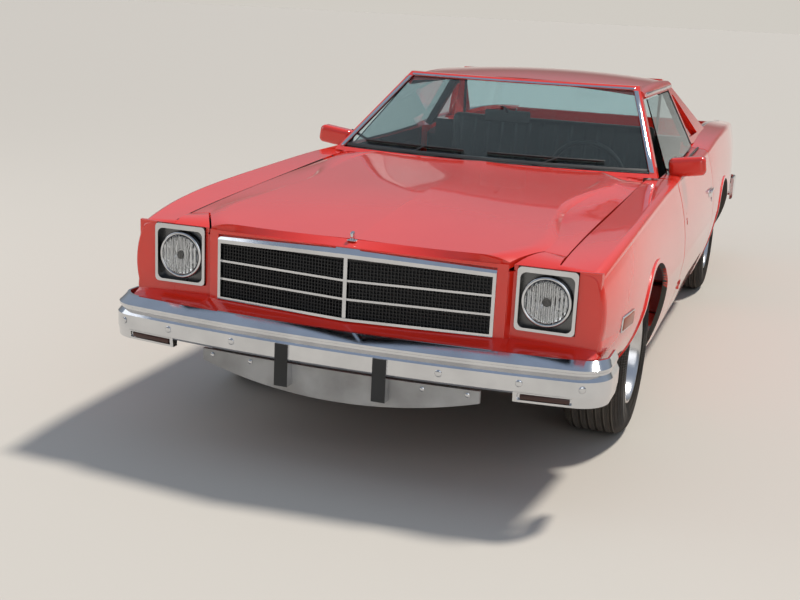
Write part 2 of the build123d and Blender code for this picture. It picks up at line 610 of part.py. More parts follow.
def cab_shell():
    """The roof with its pillars, cantrails, sail panels and the wall behind the seat."""
    def roof_section(y):
        drop = 26.0 * ((y - 330) / 620) ** 2
        crown = (0, y, ROOF_Z - drop)
        shoulder = (596, y, ROOF_Z - 30 - drop)
        cant = (CANT_X, y, CANT_Z - 8)
        outer = ThreePointArc((-shoulder[0], y, shoulder[2]), crown, shoulder)
        down = bowed(cant, shoulder, 16)
        up = bowed((-596, y, shoulder[2]), (-CANT_X, y, CANT_Z - 8), 16)
        inner = ThreePointArc((-600, y, CANT_Z - 8), (0, y, ROOF_Z - 24 - drop), (600, y, CANT_Z - 8))
        edges = [outer, down, Line(cant, (600, y, CANT_Z - 8)), inner,
                 Line((-600, y, CANT_Z - 8), (-CANT_X, y, CANT_Z - 8)), up]
        return make_face(Wire(edges))
    roof = loft([roof_section(y) for y in (SCREEN_HEAD_Y + 6, 20, 380, 760)])
    back_header = box(-600, 600, CAB_BACK_Y + 24, CAB_BACK_Y + 84, CANT_Z - 20, CANT_Z + 40)
    wall = box(-BED_WALL_X, BED_WALL_X, CAB_BACK_Y - 40, CAB_BACK_Y, FLOOR_Z, RAIL_UNDER_Z)
    wall += box(-RAIL_INNER_X, RAIL_INNER_X, CAB_BACK_Y - 40, CAB_BACK_Y, RAIL_UNDER_Z, SHELF_Z - 4)
    wall -= box(-TUNNEL_HALF, TUNNEL_HALF, CAB_BACK_Y - 50, CAB_BACK_Y + 10, FLOOR_Z - 10, TUNNEL_TOP)
    shelf = box(-BELT_X + 73, BELT_X - 73, CAB_BACK_Y - 40, CAB_BACK_Y + 46, SHELF_Z - 24, SHELF_Z)
    rise = SCREEN_HEAD_Z - SCREEN_FOOT_Z
    foot = (COWL_TOP_Z + SEAT_GAP - SCREEN_FOOT_Z) / rise
    frame = loft([screen_section(share, -3, 42, 34) for share in (foot, 1.06)], ruled=True)
    hole = [screen_section(share, -30, 90, SEAT_GAP) for share in (-SEAT_GAP / rise, 1 + SEAT_GAP / rise)]
    frame -= loft(hole, ruled=True)
    rail = leaning([(-250, 0.962), (760, 0.962), (760, 1.02), (-250, 1.02)], 6, 34)
    sail = leaning([(DOOR_REAR_Y + 4, 0.12), (DOOR_REAR_Y + 4, 1.0), (740, 1.0), (1420, 0.16), (1420, 0.04)],
                   4, PILLAR_T)
    window = leaning(QUARTER_PANE, -20, 120)
    below = loft_along(lambda y: walled_section(y, 700, -2 * SEAT_GAP), DOOR_REAR_Y, QUARTER_END_Y, 6)
    side_parts = rail + (sail - window - below)
    return roof + frame + back_header + wall + shelf + both_sides(side_parts)


# The fixed rear side pane: y and share of the rise at each corner
QUARTER_PANE = [(DOOR_REAR_Y + 52, 0.21), (DOOR_REAR_Y + 52, 0.88), (680, 0.88), (1005, 0.21)]


def quarter_windows():
    flat = make_face(Polyline(*[(y, share * CAB_RISE) for y, share in QUARTER_PANE], close=True))
    pane = extrude(CAB_SIDE.offset(-24) * offset(flat, -2 * SEAT_GAP), amount=-GLASS_T)
    return both_sides(pane)


def screen_section(share, depth0, depth1, grow=0.0):
    """A bowed strip of the windscreen at a share of its rise, between two depths, wider by grow."""
    x = SCREEN_FOOT_X + (SCREEN_HEAD_X - SCREEN_FOOT_X) * share + grow
    y = SCREEN_FOOT_Y + (SCREEN_HEAD_Y - SCREEN_FOOT_Y) * share
    z = SCREEN_FOOT_Z + (SCREEN_HEAD_Z - SCREEN_FOOT_Z) * share
    bow = SCREEN_FOOT_BOW + (SCREEN_HEAD_BOW - SCREEN_FOOT_BOW) * share
    front = ThreePointArc((-x, y + depth0, z), (0, y - bow + depth0, z), (x, y + depth0, z))
    back = ThreePointArc((-x, y + depth1, z), (0, y - bow + depth1, z), (x, y + depth1, z))
    return make_face(Wire([front, Line(front @ 1, back @ 1), back, Line(back @ 0, front @ 0)]))


def windscreen():
    return loft([screen_section(share, 0, 12) for share in (0.0, 1.0)], ruled=True)


def rear_window():
    return box(-596, 596, CAB_BACK_Y + 40, CAB_BACK_Y + 46, SHELF_Z, CANT_Z - 20)


def floor_pan():
    """The cab floor with its tunnel, toe board and bulkhead."""
    toe_y, bulkhead_y = COWL_BACK_Y + 130, COWL_BACK_Y - 20
    pan = box(-790, 790, toe_y, CAB_BACK_Y - 40, FLOOR_Z - SHEET, FLOOR_Z)
    toe = across([(toe_y, FLOOR_Z - SHEET), (toe_y, FLOOR_Z), (bulkhead_y, TUNNEL_TOP + 30),
                  (bulkhead_y, 880), (bulkhead_y - SHEET, 880), (bulkhead_y - SHEET, TUNNEL_TOP + 26),
                  (toe_y - 15, FLOOR_Z - SHEET)], -740, 740)
    tunnel = box(-TUNNEL_HALF, TUNNEL_HALF, bulkhead_y - SHEET, CAB_BACK_Y - 40, FLOOR_Z - SHEET, TUNNEL_TOP)
    inside = TUNNEL_HALF - SHEET
    hollow = box(-inside, inside, bulkhead_y - 100, CAB_BACK_Y - 20, FLOOR_Z - 150, TUNNEL_TOP - SHEET)
    return pan + toe + tunnel - hollow


def cowl_panel():
    """The panel below the windscreen, its sides down to the rocker and the hinges that it carries."""
    x, y = COWL_SIDE_X, HOOD_REAR_Y + 8
    top = loft([
        make_face(Wire([
            ThreePointArc((-x, y, z), (0, y - HOOD_REAR_BOW, z), (x, y, z)),
            Line((x, y, z), (x, COWL_BACK_Y, z)), Line((x, COWL_BACK_Y, z), (-x, COWL_BACK_Y, z)),
            Line((-x, COWL_BACK_Y, z), (-x, y, z))])) for z in (880, COWL_TOP_Z)], ruled=True)
    side_wall = box(COWL_SIDE_X, COWL_SIDE_X + 24, COWL_BACK_Y - 80, COWL_BACK_Y, DOOR_BOTTOM_Z - 20, 905)
    notch = box(684, 732, HOOD_REAR_Y - 40, HOOD_REAR_Y + 26, 870, 960)
    pin = cylinder_x(HINGE_PIN_R, 680, 736, HOOD_REAR_Y, HOOD_HINGE_Z)
    return top - both_sides(notch) + both_sides(side_wall + pin + hinge_straps())


def hood_section(row):
    """The bonnet at a row of its table: a raised ridge each side of a middle crease."""
    y, crease_rise, inner_x, inner_rise, outer_x, outer_rise = row
    edge_x, edge_z = side(y, TOP_X) - PANEL_GAP - 1, side(y, TOP_Z)
    edge, outer = (edge_x, y, edge_z), (outer_x, y, edge_z + outer_rise)
    inner, crease = (inner_x, y, edge_z + inner_rise), (0, y, edge_z + crease_rise)

    def mirrored(point):
        return (-point[0], point[1], point[2])

    top = [Line(edge, outer), bowed(outer, inner, RIDGE_BULGE), bowed(inner, crease, -FLANK_DISH),
           bowed(crease, mirrored(inner), -FLANK_DISH), bowed(mirrored(inner), mirrored(outer), RIDGE_BULGE),
           Line(mirrored(outer), mirrored(edge))]
    under = [mirrored(edge), mirrored(outer), mirrored(inner), crease, inner, outer, edge]
    low = [(x, y, z - HOOD_T) for x, y, z in under]
    return closed(top, *low)


def hood_corner(y):
    """Half the width of the bonnet ahead of the brows, at y."""
    share = (y - HOOD_FRONT_Y) / (BROW_BACK_Y - HOOD_FRONT_Y)
    return HOOD_CORNER_X + (BROW_BACK_X - HOOD_CORNER_X) * share


def hood():
    """The bonnet, narrow between the brows and bowed along its rear edge."""
    panel = loft([hood_section(row) for row in HOOD])
    bow = ThreePointArc((-800, HOOD_REAR_Y), (0, HOOD_REAR_Y - HOOD_REAR_BOW), (800, HOOD_REAR_Y))
    end = HOOD_REAR_Y + 170
    rear = make_face(Wire([bow, Line((800, HOOD_REAR_Y), (800, end)), Line((800, end), (-800, end)),
                           Line((-800, end), (-800, HOOD_REAR_Y))]))
    notch_y = BROW_BACK_Y + PANEL_GAP
    corner = plan([(hood_corner(HOOD_FRONT_Y - 60), HOOD_FRONT_Y - 60), (hood_corner(notch_y), notch_y),
                   (800, notch_y), (800, HOOD_FRONT_Y - 60)], 700, 900)
    panel = panel - Pos(0, 0, 700) * extrude(rear, amount=500) - both_sides(corner)
    lug = box(692, 708, HOOD_REAR_Y - 70, HOOD_REAR_Y + 12, HOOD_HINGE_Z - 13, HOOD_HINGE_Z + 10)
    lug -= cylinder_x(HINGE_PIN_R + SEAT_GAP, 680, 720, HOOD_REAR_Y, HOOD_HINGE_Z)
    return panel + both_sides(lug)


def across_bar(sections):
    """A bar across the nose through side outlines, given as x and (y, z) points from the middle out."""
    sides = [(-x, points) for x, points in reversed(sections) if x > 0] + sections
    return loft([make_face(Polyline(*[(x, y, z) for y, z in points], close=True)) for x, points in sides],
                ruled=True)


def nose_plan(left):
    """The outline through the points of its left half and their mirror images."""
    return left + [(-x, y) for x, y in reversed(left) if x > 0]


HEADER_BACK_Y = FENDER_FRONT_Y - SEAT_GAP
NOSE_X = GRILLE_HALF + 4


def nose_face_plan():
    """The plan of the nose at the grille and the lamps."""
    lid_back = HOOD_FRONT_Y - LID_GAP
    return nose_plan([(0, GRILLE_CENTRE_Y + 12), (NOSE_X, lid_back - 8), (HOOD_CORNER_X, lid_back - 2),
                      (HOOD_CORNER_X + 14, LAMP_Y + 6), (840, LAMP_Y + 6), (FILLER_HALF - 16, LAMP_Y + 10),
                      (FILLER_HALF - 12, HEADER_BACK_Y)])


def filler_plan():
    """The plan of the panel between the nose and the front bumper."""
    def front(x):
        return bumper_line(x) + LEDGE_DEPTH + FILLER_GAP
    return nose_plan([(0, front(0)), (NOSE_X, front(NOSE_X)), (HOOD_CORNER_X, front(HOOD_CORNER_X)),
                      (HOOD_CORNER_X + 20, front(HOOD_CORNER_X + 20)),
                      (BUMPER_BOW_HALF - 6, front(BUMPER_BOW_HALF)),
                      (FILLER_HALF - 4, LAMP_Y - 22), (FILLER_HALF, HEADER_BACK_Y)])


def flat_face(outline, z):
    return make_face(Polyline(*[(x, y, z) for x, y in outline], close=True))


def header_lid():
    """The slope from the top of the grille up to the bonnet."""
    back = HOOD_FRONT_Y - LID_GAP
    hood_z = side(HOOD_FRONT_Y, TOP_Z)
    # columns: x, front y, top of the grille, back z
    rows = [
        (0, GRILLE_CENTRE_Y + GRILLE_SLANT, GRILLE_TOP + GRILLE_RISE, hood_z + 17),
        (470, back - 4, GRILLE_TOP + 2, hood_z + 17),
        (NOSE_X + 6, back - 3, GRILLE_TOP, hood_z + 6),
    ]
    return across_bar([(x, [(y, z + 4), (back, top), (back, z + 2 * SEAT_GAP), (y, z + 2 * SEAT_GAP)])
                       for x, y, z, top in rows])


def header_brow():
    """The left brow above a headlamp, from its bezel back to the bonnet and the fender."""
    outer = side(BROW_BACK_Y, TOP_X) - PANEL_GAP
    # columns: y, height of the inner edge, height of the outer edge
    rows = ((LAMP_Y + 5, LAMP_Z + LAMP_HALF_H + 1, LAMP_Z + LAMP_HALF_H + 1),
            (LAMP_Y + 32, side(LAMP_Y + 32, TOP_Z) + 1, side(LAMP_Y + 32, TOP_Z)),
            (BROW_BACK_Y, side(BROW_BACK_Y, TOP_Z) + 9, side(BROW_BACK_Y, TOP_Z)))
    sections = []
    for y, inner_z, outer_z in rows:
        inner = hood_corner(y) + LID_GAP
        points = [(inner, y, inner_z), (outer, y, outer_z), (outer, y, outer_z - LID_T),
                  (inner, y, inner_z - LID_T)]
        sections.append(make_face(Polyline(*points, close=True)))
    return loft(sections)


def header_corner():
    """The left end of the nose, from the lamp round to the front of the fender."""
    inner = side(FENDER_FRONT_Y, TOP_X) - PANEL_GAP
    sections = [closed(skin_edges(y, inset, inner), (inner, y, FILLER_BOTTOM - 60))
                for y, inset in ((LAMP_Y + 5, 9), (LAMP_Y + 16, 2.5), (HEADER_BACK_Y, 0))]
    return loft(sections) & box(inner, 1000, NOSE_Y, HEADER_BACK_Y, FILLER_BOTTOM, 900)


def header_panel():
    """The body-coloured nose with openings for the grille and the headlamps."""
    lamp_top = LAMP_Z + LAMP_HALF_H
    face = plan(nose_face_plan(), FILLER_TOP, lamp_top + 2)
    face += both_sides(box(640, 738, HEADER_BACK_Y - 1, HEADER_BACK_Y + NOSE_T, FILLER_TOP, lamp_top))
    slope = loft([flat_face(filler_plan(), FILLER_TOP), flat_face(nose_face_plan(), GRILLE_BOTTOM - 2)],
                 ruled=True)
    panel = face + slope + plan(filler_plan(), FILLER_BOTTOM, FILLER_TOP) + both_sides(header_corner())
    behind = RADIATOR_Y + 60
    under_hood = nose_plan([(0, HOOD_FRONT_Y - LID_GAP), (HOOD_CORNER_X + LID_GAP, HOOD_FRONT_Y - LID_GAP),
                            (hood_corner(HEADER_BACK_Y + NOSE_T) + LID_GAP, HEADER_BACK_Y + NOSE_T),
                            (BROW_BACK_X, behind)])
    panel -= plan(under_hood, 812, 900)
    panel -= plan(nose_plan([(0, HEADER_BACK_Y - 30), (NOSE_X + 40, HEADER_BACK_Y - 30),
                             (NOSE_X + 40, behind)]), FILLER_BOTTOM - 1, FILLER_TOP - 8)
    panel += both_sides(header_brow())
    fit = GRILLE_HALF + SEAT_GAP
    ahead = NOSE_Y + 30
    panel -= box(-fit, fit, ahead, behind, GRILLE_BOTTOM - SEAT_GAP, GRILLE_TOP + SEAT_GAP)
    panel -= across_bar([(0, [(ahead, GRILLE_TOP), (ahead, GRILLE_TOP + GRILLE_RISE + SEAT_GAP),
                              (behind, GRILLE_TOP + GRILLE_RISE + SEAT_GAP), (behind, GRILLE_TOP)]),
                         (fit, [(ahead, GRILLE_TOP - 1), (ahead, GRILLE_TOP + SEAT_GAP),
                                (behind, GRILLE_TOP + SEAT_GAP), (behind, GRILLE_TOP - 1)])])
    for s in (-1, 1):
        panel -= box(s * (LAMP_X - LAMP_HALF_W), s * (LAMP_X + LAMP_HALF_W), ahead, behind,
                     LAMP_Z - LAMP_HALF_H, LAMP_Z + LAMP_HALF_H)
    bracket = box(546, 590, HOOD_FRONT_Y + 20, RADIATOR_Y - SEAT_GAP, 590, 640)
    return panel + header_lid() + both_sides(bracket)


def grille():
    """The chrome frame with its slanted top bar, upright, cross bars and mesh plate."""
    def slab(y_in, y_out, z0, z1, half=GRILLE_HALF):
        end = GRILLE_END_Y + (GRILLE_CENTRE_Y - GRILLE_END_Y) * (1 - half / GRILLE_HALF)
        return plan([(0, GRILLE_CENTRE_Y + y_in), (half, end + y_in), (half, end + y_out),
                     (0, GRILLE_CENTRE_Y + y_out), (-half, end + y_out), (-half, end + y_in)], z0, z1)

    def top_outline(y, z):
        low = z - GRILLE_TOP_BAR
        back = y + GRILLE_SLANT + 4
        return [(y, low), (y, low + 14), (y + GRILLE_SLANT, z), (back, z), (back, low)]

    opening = GRILLE_HALF - 12
    top_bar = across_bar([(0, top_outline(GRILLE_CENTRE_Y, GRILLE_TOP + GRILLE_RISE)),
                          (GRILLE_HALF, top_outline(GRILLE_END_Y, GRILLE_TOP))])
    frame = slab(0, GRILLE_DEPTH, GRILLE_BOTTOM, GRILLE_TOP - GRILLE_TOP_BAR + 4)
    frame -= slab(-5, GRILLE_DEPTH + 5, GRILLE_BOTTOM + 10, GRILLE_TOP + 20, opening)
    mesh = slab(26, 34, GRILLE_BOTTOM + 8, GRILLE_TOP - GRILLE_TOP_BAR + 6, opening + 2)
    upright = box(-7, 7, GRILLE_CENTRE_Y + 4, GRILLE_CENTRE_Y + 30, GRILLE_BOTTOM + 6, GRILLE_TOP - 14)
    pitch = (GRILLE_TOP - GRILLE_TOP_BAR - GRILLE_BOTTOM - 10) / GRILLE_ROWS
    for i in range(1, GRILLE_ROWS):
        z = GRILLE_BOTTOM + 10 + pitch * i
        frame += slab(8, 30, z - 4, z + 4, opening + 2)
    return frame + top_bar + mesh + upright


def headlamps():
    """The bright bezels with rounded corners, each with its round sealed lamp."""
    def block(half_w, half_h, corner, z, y0, y1):
        outline = Plane(origin=(LAMP_X, y0, z), x_dir=(1, 0, 0), z_dir=(0, 1, 0)) * RectangleRounded(
            2 * half_w, 2 * half_h, corner)
        return extrude(outline, amount=y1 - y0)
    back = HEADER_BACK_Y
    half_w, half_h = LAMP_HALF_W - SEAT_GAP, LAMP_HALF_H - SEAT_GAP
    shell = block(half_w, half_h, 16, LAMP_Z, LAMP_Y - 6, back)
    shell -= block(half_w - 11, half_h - 14, 22, LAMP_Z - 4, LAMP_Y - 20, back - 6)
    ring = Pos(LAMP_X, back - 6, LAMP_Z - 4) * Rot(90, 0, 0) * Cylinder(LAMP_R - 8, 24)
    lens = Pos(LAMP_X, back - 6, LAMP_Z - 4) * Rot(90, 0, 0) * Cylinder(LAMP_R - 16, 32)
    return both_sides(shell + ring + lens)


def inner_fenders():
    """The panels between the engine bay and the front wheels."""
    wall = box(452, 464, RADIATOR_Y + RADIATOR_T + SEAT_GAP, DOOR_FRONT_Y - 110,
               FRONT_RAIL_Z + RAIL_H / 2 + 8, 850)
    skirt = ring_x(SKIRT_R + SHEET, SKIRT_R, 452, 880, FRONT_AXLE_Y, TYRE_R)
    skirt &= box(400, 880, FRONT_AXLE_Y - 500, FRONT_AXLE_Y + 500, 560, 900)
    return both_sides(wall + skirt)


def radiator_support():
    """The upright panel behind the grille with the radiator core in it."""
    back = RADIATOR_Y + RADIATOR_T
    panel = box(-740, 740, RADIATOR_Y, back, FRONT_RAIL_Z + RAIL_H / 2 + SEAT_GAP, 826)
    core = box(-330, 330, back, back + 60, 430, 810)
    return panel + core


def bumper_level(z, push, back):
    """The front bumper's plan at height z, with its face pushed out and its rear that far behind its line."""
    corner_x, corner_y = BUMPER_BOW_HALF, bumper_line(BUMPER_BOW_HALF)
    half = BUMPER_HALF - FACE_PUSH + push * 0.25 if push < 0 else BUMPER_HALF - FACE_PUSH + push
    inner, turn_y = BUMPER_HALF - FACE_PUSH - BUMPER_END_T, corner_y + 130
    way = (corner_x, 2 * BUMPER_BOW)

    def arcs(x, y_middle, y_corner, half_width):
        middle = ThreePointArc((-x, y_corner, z), (0, y_middle, z), (x, y_corner, z))
        return middle, TangentArc((x, y_corner, z), (half_width, turn_y, z), tangent=way)

    face, turn = arcs(corner_x, bumper_line(0) - push, corner_y - push, half)
    rear_x = corner_x - 12
    rear, rear_turn = arcs(rear_x, bumper_line(0) + back, bumper_line(rear_x) + back, inner)
    end = Line(turn @ 1, (half, BUMPER_END_Y, z))
    cap = Line(end @ 1, (inner, BUMPER_END_Y, z))
    inside = Line(cap @ 1, rear_turn @ 1)
    right = [other_side(edge).edges()[0] for edge in (turn, end, cap, inside, rear_turn)]
    return make_face(Wire([face, turn, end, cap, inside, rear_turn, rear, *right]))


def front_bumper():
    """The chrome bar: a sloped ledge, a groove and a main face, deeper at its ends, with two guards."""
    # columns: z, push out, rear
    levels = ((BUMPER_TOP, -48, LEDGE_DEPTH), (BUMPER_TOP - 24, 0, LEDGE_DEPTH),
              (BUMPER_TOP - 32, 0, LEDGE_DEPTH),
              (BUMPER_TOP - 38, -14, BUMPER_DEPTH), (BUMPER_TOP - 46, -14, BUMPER_DEPTH),
              (BUMPER_TOP - 62, FACE_PUSH, BUMPER_DEPTH), (BUMPER_BOTTOM + 8, FACE_PUSH, BUMPER_DEPTH),
              (BUMPER_BOTTOM, 0, BUMPER_DEPTH))
    bar = loft([bumper_level(*level) for level in levels], ruled=True)
    drop = loft([bumper_level(BUMPER_BOTTOM + 8, FACE_PUSH - 1, BUMPER_DEPTH),
                 bumper_level(BUMPER_END_BOTTOM, 0, BUMPER_DEPTH)], ruled=True)
    drop &= both_sides(box(DROP_X, 1000, NOSE_Y - 20, BUMPER_END_Y + 10, 300, 600))
    x0, x1 = PARK_SLOT
    slot = plan([(x0, bumper_line(x0) - 30), (x1, bumper_line(x1) - 30), (x1, bumper_line(x1) + 12),
                 (x0, bumper_line(x0) + 12)], BUMPER_END_BOTTOM + 8, BUMPER_BOTTOM + 2)
    guard = box(GUARD_X - GUARD_W / 2, GUARD_X + GUARD_W / 2, NOSE_Y, NOSE_Y + GUARD_DEPTH,
                GUARD_BOTTOM, GUARD_TOP)
    return bar + (drop - both_sides(slot)) + both_sides(guard)


def front_valance():
    """The silver panel below the bumper, behind its guards, deepest in the middle."""
    inner_x = GUARD_X - GUARD_W / 2
    start = NOSE_Y + GUARD_DEPTH + SEAT_GAP - bumper_line(inner_x)
    half = VALANCE_HALF
    slabs = [ThreePointArc((-half, bumper_line(half) + start + t), (0, bumper_line(0) + start + t),
                           (half, bumper_line(half) + start + t)) for t in (0, VALANCE_T)]
    sheet = make_face(Wire([slabs[0], Line(slabs[0] @ 1, slabs[1] @ 1), slabs[1],
                            Line(slabs[1] @ 0, slabs[0] @ 0)]))
    sheet = Pos(0, 0, VALANCE_BOTTOM - 10) * extrude(sheet, amount=VALANCE_TOP - VALANCE_BOTTOM + 10)
    lower = ThreePointArc((-half - 5, NOSE_Y, VALANCE_END), (0, NOSE_Y, VALANCE_BOTTOM),
                          (half + 5, NOSE_Y, VALANCE_END))
    shape = closed([lower], (half + 5, NOSE_Y, VALANCE_TOP + 20), (-half - 5, NOSE_Y, VALANCE_TOP + 20))
    return sheet & extrude(shape, amount=300, dir=(0, 1, 0))


def rear_bumper():
    """The chrome rear bar that turns round the corners, with a step on top."""
    def level(z, inset):
        left = [(0, TAIL_Y - inset), (780, TAIL_Y - 14 - inset), (910 - inset, TAIL_Y - 46 - inset),
                (952 - inset / 2, TAIL_Y - 100), (952 - inset / 2, TAIL_Y - 300), (932, TAIL_Y - 300),
                (932, TAIL_Y - 104), (892 - inset, TAIL_Y - 68), (760, TAIL_Y - 50), (0, TAIL_Y - 44)]
        return flat_face(nose_plan(left), z)
    # columns: z, inset of the face
    levels = ((REAR_BUMPER_TOP, 14), (REAR_BUMPER_TOP - 10, 2), (REAR_BUMPER_TOP - 18, 0),
              (REAR_BUMPER_BOTTOM + 14, 0), (REAR_BUMPER_BOTTOM, 10))
    bar = loft([level(*row) for row in levels], ruled=True)
    for s in (-1, 1):
        bar -= box(s * 560, s * 790, TAIL_Y - 22, TAIL_Y + 20, 480, 556)
    return bar


def tail_lamps():
    lamp = box(561, 789, TAIL_Y - 22, TAIL_Y - 8, 481, 555)
    return both_sides(lamp)


def tail_panel():
    """The panel below the gate that closes the body between the quarters."""
    return box(-BED_WALL_X, BED_WALL_X, BED_END_Y - 20, BED_END_Y + 20, REAR_RAIL_Z + RAIL_H / 2 + SEAT_GAP,
               GATE_HINGE_Z - GATE_T / 2 - 8)


# Load bed and cabin

def bed_liner():
    """The bed floor with its front wall and the two wheel houses."""
    front = CAB_BACK_Y + SEAT_GAP
    floor = box(-BED_WALL_X, BED_WALL_X, front, BED_END_Y - 20, BED_FLOOR_Z - SHEET, BED_FLOOR_Z)
    wall = box(-BED_WALL_X, BED_WALL_X, front, front + 26, BED_FLOOR_Z - SHEET, RAIL_UNDER_Z - 5)
    for i in range(BED_GROOVES):
        x = BED_GROOVE_PITCH * (i + 0.8)
        floor -= both_sides(box(x - BED_GROOVE_W / 2, x + BED_GROOVE_W / 2, front + 90, BED_END_Y - 90,
                                BED_FLOOR_Z - BED_GROOVE_DEPTH, BED_FLOOR_Z + 1))
    liner = floor + wall
    sill_z = REAR_RAIL_Z + RAIL_H / 2 + SEAT_GAP
    for y in (REAR_AXLE_Y + 440, REAR_AXLE_Y + 820, BED_END_Y - 110):
        liner += box(-REAR_RAIL_X - 30, REAR_RAIL_X + 30, y - 30, y + 30, sill_z, BED_FLOOR_Z - SHEET)
    for s in (-1, 1):
        inner, outer = s * (HOUSE_HALF + SHEET), s * BED_WALL_X
        liner -= cylinder_x(HOUSE_R - 2, inner, outer, REAR_AXLE_Y, TYRE_R)
        house = cylinder_x(HOUSE_R, s * HOUSE_HALF, outer, REAR_AXLE_Y, TYRE_R)
        house -= cylinder_x(HOUSE_R - SHEET, inner, outer + s, REAR_AXLE_Y, TYRE_R)
        liner += house & box(-BED_WALL_X, BED_WALL_X, 600, 2000, BED_FLOOR_Z - 100, 900)
    return liner


def tailgate():
    y0 = BED_END_Y + 22
    gate = box(-GATE_HALF, GATE_HALF, y0, y0 + GATE_T, GATE_HINGE_Z - GATE_T / 2, GATE_TOP)
    border = GATE_HALF - 90
    gate -= box(-border, border, y0 + GATE_T - GATE_RECESS, y0 + GATE_T + 1, GATE_HINGE_Z + 50, GATE_TOP - 70)
    pin = cylinder_x(GATE_PIN_R, -GATE_HALF - 24, GATE_HALF + 24, GATE_Y, GATE_HINGE_Z)
    return gate + pin


def bench_seat():
    """A full-width cushion and its backrest."""
    front, rear = CAB_BACK_Y - 630, CAB_BACK_Y - 80
    cushion = box(-SEAT_HALF, SEAT_HALF, front, rear, FLOOR_Z + 190, FLOOR_Z + 310)
    foot_y, head_y = CAB_BACK_Y - 50, CAB_BACK_Y - 42
    back = across([(foot_y - 160, 640), (foot_y, 640), (head_y, 1090), (head_y - 98, 1090)],
                  -SEAT_HALF, SEAT_HALF)
    base = box(40 - SEAT_HALF, SEAT_HALF - 40, front + 30, rear, FLOOR_Z, FLOOR_Z + 190)
    base -= box(-TUNNEL_HALF - 5, TUNNEL_HALF + 5, front, rear + 40, FLOOR_Z - 50, TUNNEL_TOP + 2)
    return cushion + back + base


def dashboard():
    """The instrument panel with the steering column."""
    back = COWL_BACK_Y + SEAT_GAP
    panel = across([(back, 850), (back, 948), (back + 250, 940), (back + 300, 880), (back + 270, 700),
                    (back + 150, 690)], -730, 730)
    return panel + rod(32, COLUMN_FOOT, COLUMN_HEAD)


def steering_wheel():
    """A rim, a hub and two spokes, square to the column."""
    along = (Vector(*COLUMN_HEAD) - Vector(*COLUMN_FOOT)).normalized()
    centre = Vector(*COLUMN_HEAD) + along * (SEAT_GAP + 18)
    place = Plane(origin=centre, x_dir=(1, 0, 0), z_dir=along)
    rim = Torus(190, 13)
    hub = Cylinder(46, 36) + Box(380, 44, 14)
    return place.location * (rim + hub)


# Every node of the vehicle, by name

def build():
    nodes = {
        "chassis_frame": chassis_frame(), "front_suspension": front_suspension(), "rear_axle": rear_axle(),
        "engine_block": engine_block(), "exhaust_system": exhaust_system(), "fuel_tank": fuel_tank(),
        "floor_pan": floor_pan(), "cowl_panel": cowl_panel(), "cab_shell": cab_shell(),
        "windscreen": windscreen(), "rear_window": rear_window(), "quarter_windows": quarter_windows(),
        "inner_fenders": inner_fenders(), "radiator_support": radiator_support(),
        "header_panel": header_panel(), "grille": grille(), "headlamps": headlamps(),
        "front_bumper": front_bumper(), "front_valance": front_valance(), "bed_liner": bed_liner(),
        "tail_panel": tail_panel(), "rear_bumper": rear_bumper(), "tail_lamps": tail_lamps(),
        "bench_seat": bench_seat(), "dashboard": dashboard(), "steering_wheel": steering_wheel(),
        "hood": hood(), "tailgate": tailgate(),
    }
    handed = {
        "fender": fender(FENDER_FRONT_Y, DOOR_FRONT_Y - DOOR_FRONT_GAP),
        "body_side": body_side(), "door": door(),
        "door_glass": door_glass(), "knuckle": knuckle(),
    }
    for name, shape in handed.items():
        nodes[name + "_left"] = shape
        nodes[name + "_right"] = other_side(shape)
    for axle, y in (("front", FRONT_AXLE_Y), ("rear", REAR_AXLE_Y)):
        for hand, sign in (("left", 1), ("right", -1)):
            tyre, rim = wheel_parts(sign * WHEEL_X, y, sign)
            nodes[f"tyre_{axle}_{hand}"] = tyre
            nodes[f"rim_{axle}_{hand}"] = rim
    return nodes


if __name__ == "__main__":
    os.makedirs("parts", exist_ok=True)
    for name, shape in build().items():
        export_step(shape, f"parts/{name}.step")
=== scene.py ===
import math

import bpy
from mathutils import Matrix, Vector


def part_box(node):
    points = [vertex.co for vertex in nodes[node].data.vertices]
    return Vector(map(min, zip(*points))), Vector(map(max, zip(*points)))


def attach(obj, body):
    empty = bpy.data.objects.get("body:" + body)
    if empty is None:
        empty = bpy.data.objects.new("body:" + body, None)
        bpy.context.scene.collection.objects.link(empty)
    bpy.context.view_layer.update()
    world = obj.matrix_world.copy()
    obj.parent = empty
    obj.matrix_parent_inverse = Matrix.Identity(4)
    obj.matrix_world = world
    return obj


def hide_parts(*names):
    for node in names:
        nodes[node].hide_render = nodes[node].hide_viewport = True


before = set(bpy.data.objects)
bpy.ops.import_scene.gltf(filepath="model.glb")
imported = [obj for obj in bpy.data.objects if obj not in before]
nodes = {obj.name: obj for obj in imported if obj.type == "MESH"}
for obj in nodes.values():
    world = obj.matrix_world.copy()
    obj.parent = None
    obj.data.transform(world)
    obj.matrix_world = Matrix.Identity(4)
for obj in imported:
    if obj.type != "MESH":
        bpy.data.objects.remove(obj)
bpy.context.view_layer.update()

# The camera stands where the photographer stood: ahead of the driver's side of the nose, at eye
# height, looking a little down, with the slight tilt of a hand-held picture.
photo_width = 800
focal_pixels = 1168.4
camera_place = (1.516, -6.331, 1.666)
camera_yaw, camera_tilt, camera_roll = 19.37, 75.97, 2.82
camera = bpy.data.objects.new("camera", bpy.data.cameras.new("camera"))
bpy.context.scene.collection.objects.link(camera)
camera.data.sensor_width = 36
camera.data.lens = focal_pixels * camera.data.sensor_width / photo_width
camera.location = camera_place
turn = Matrix.Rotation(math.radians(camera_yaw), 3, "Z")
turn = turn @ Matrix.Rotation(math.radians(camera_tilt), 3, "X")
turn = turn @ Matrix.Rotation(math.radians(camera_roll), 3, "Z")
camera.rotation_euler = turn.to_euler()
bpy.context.scene.camera = camera

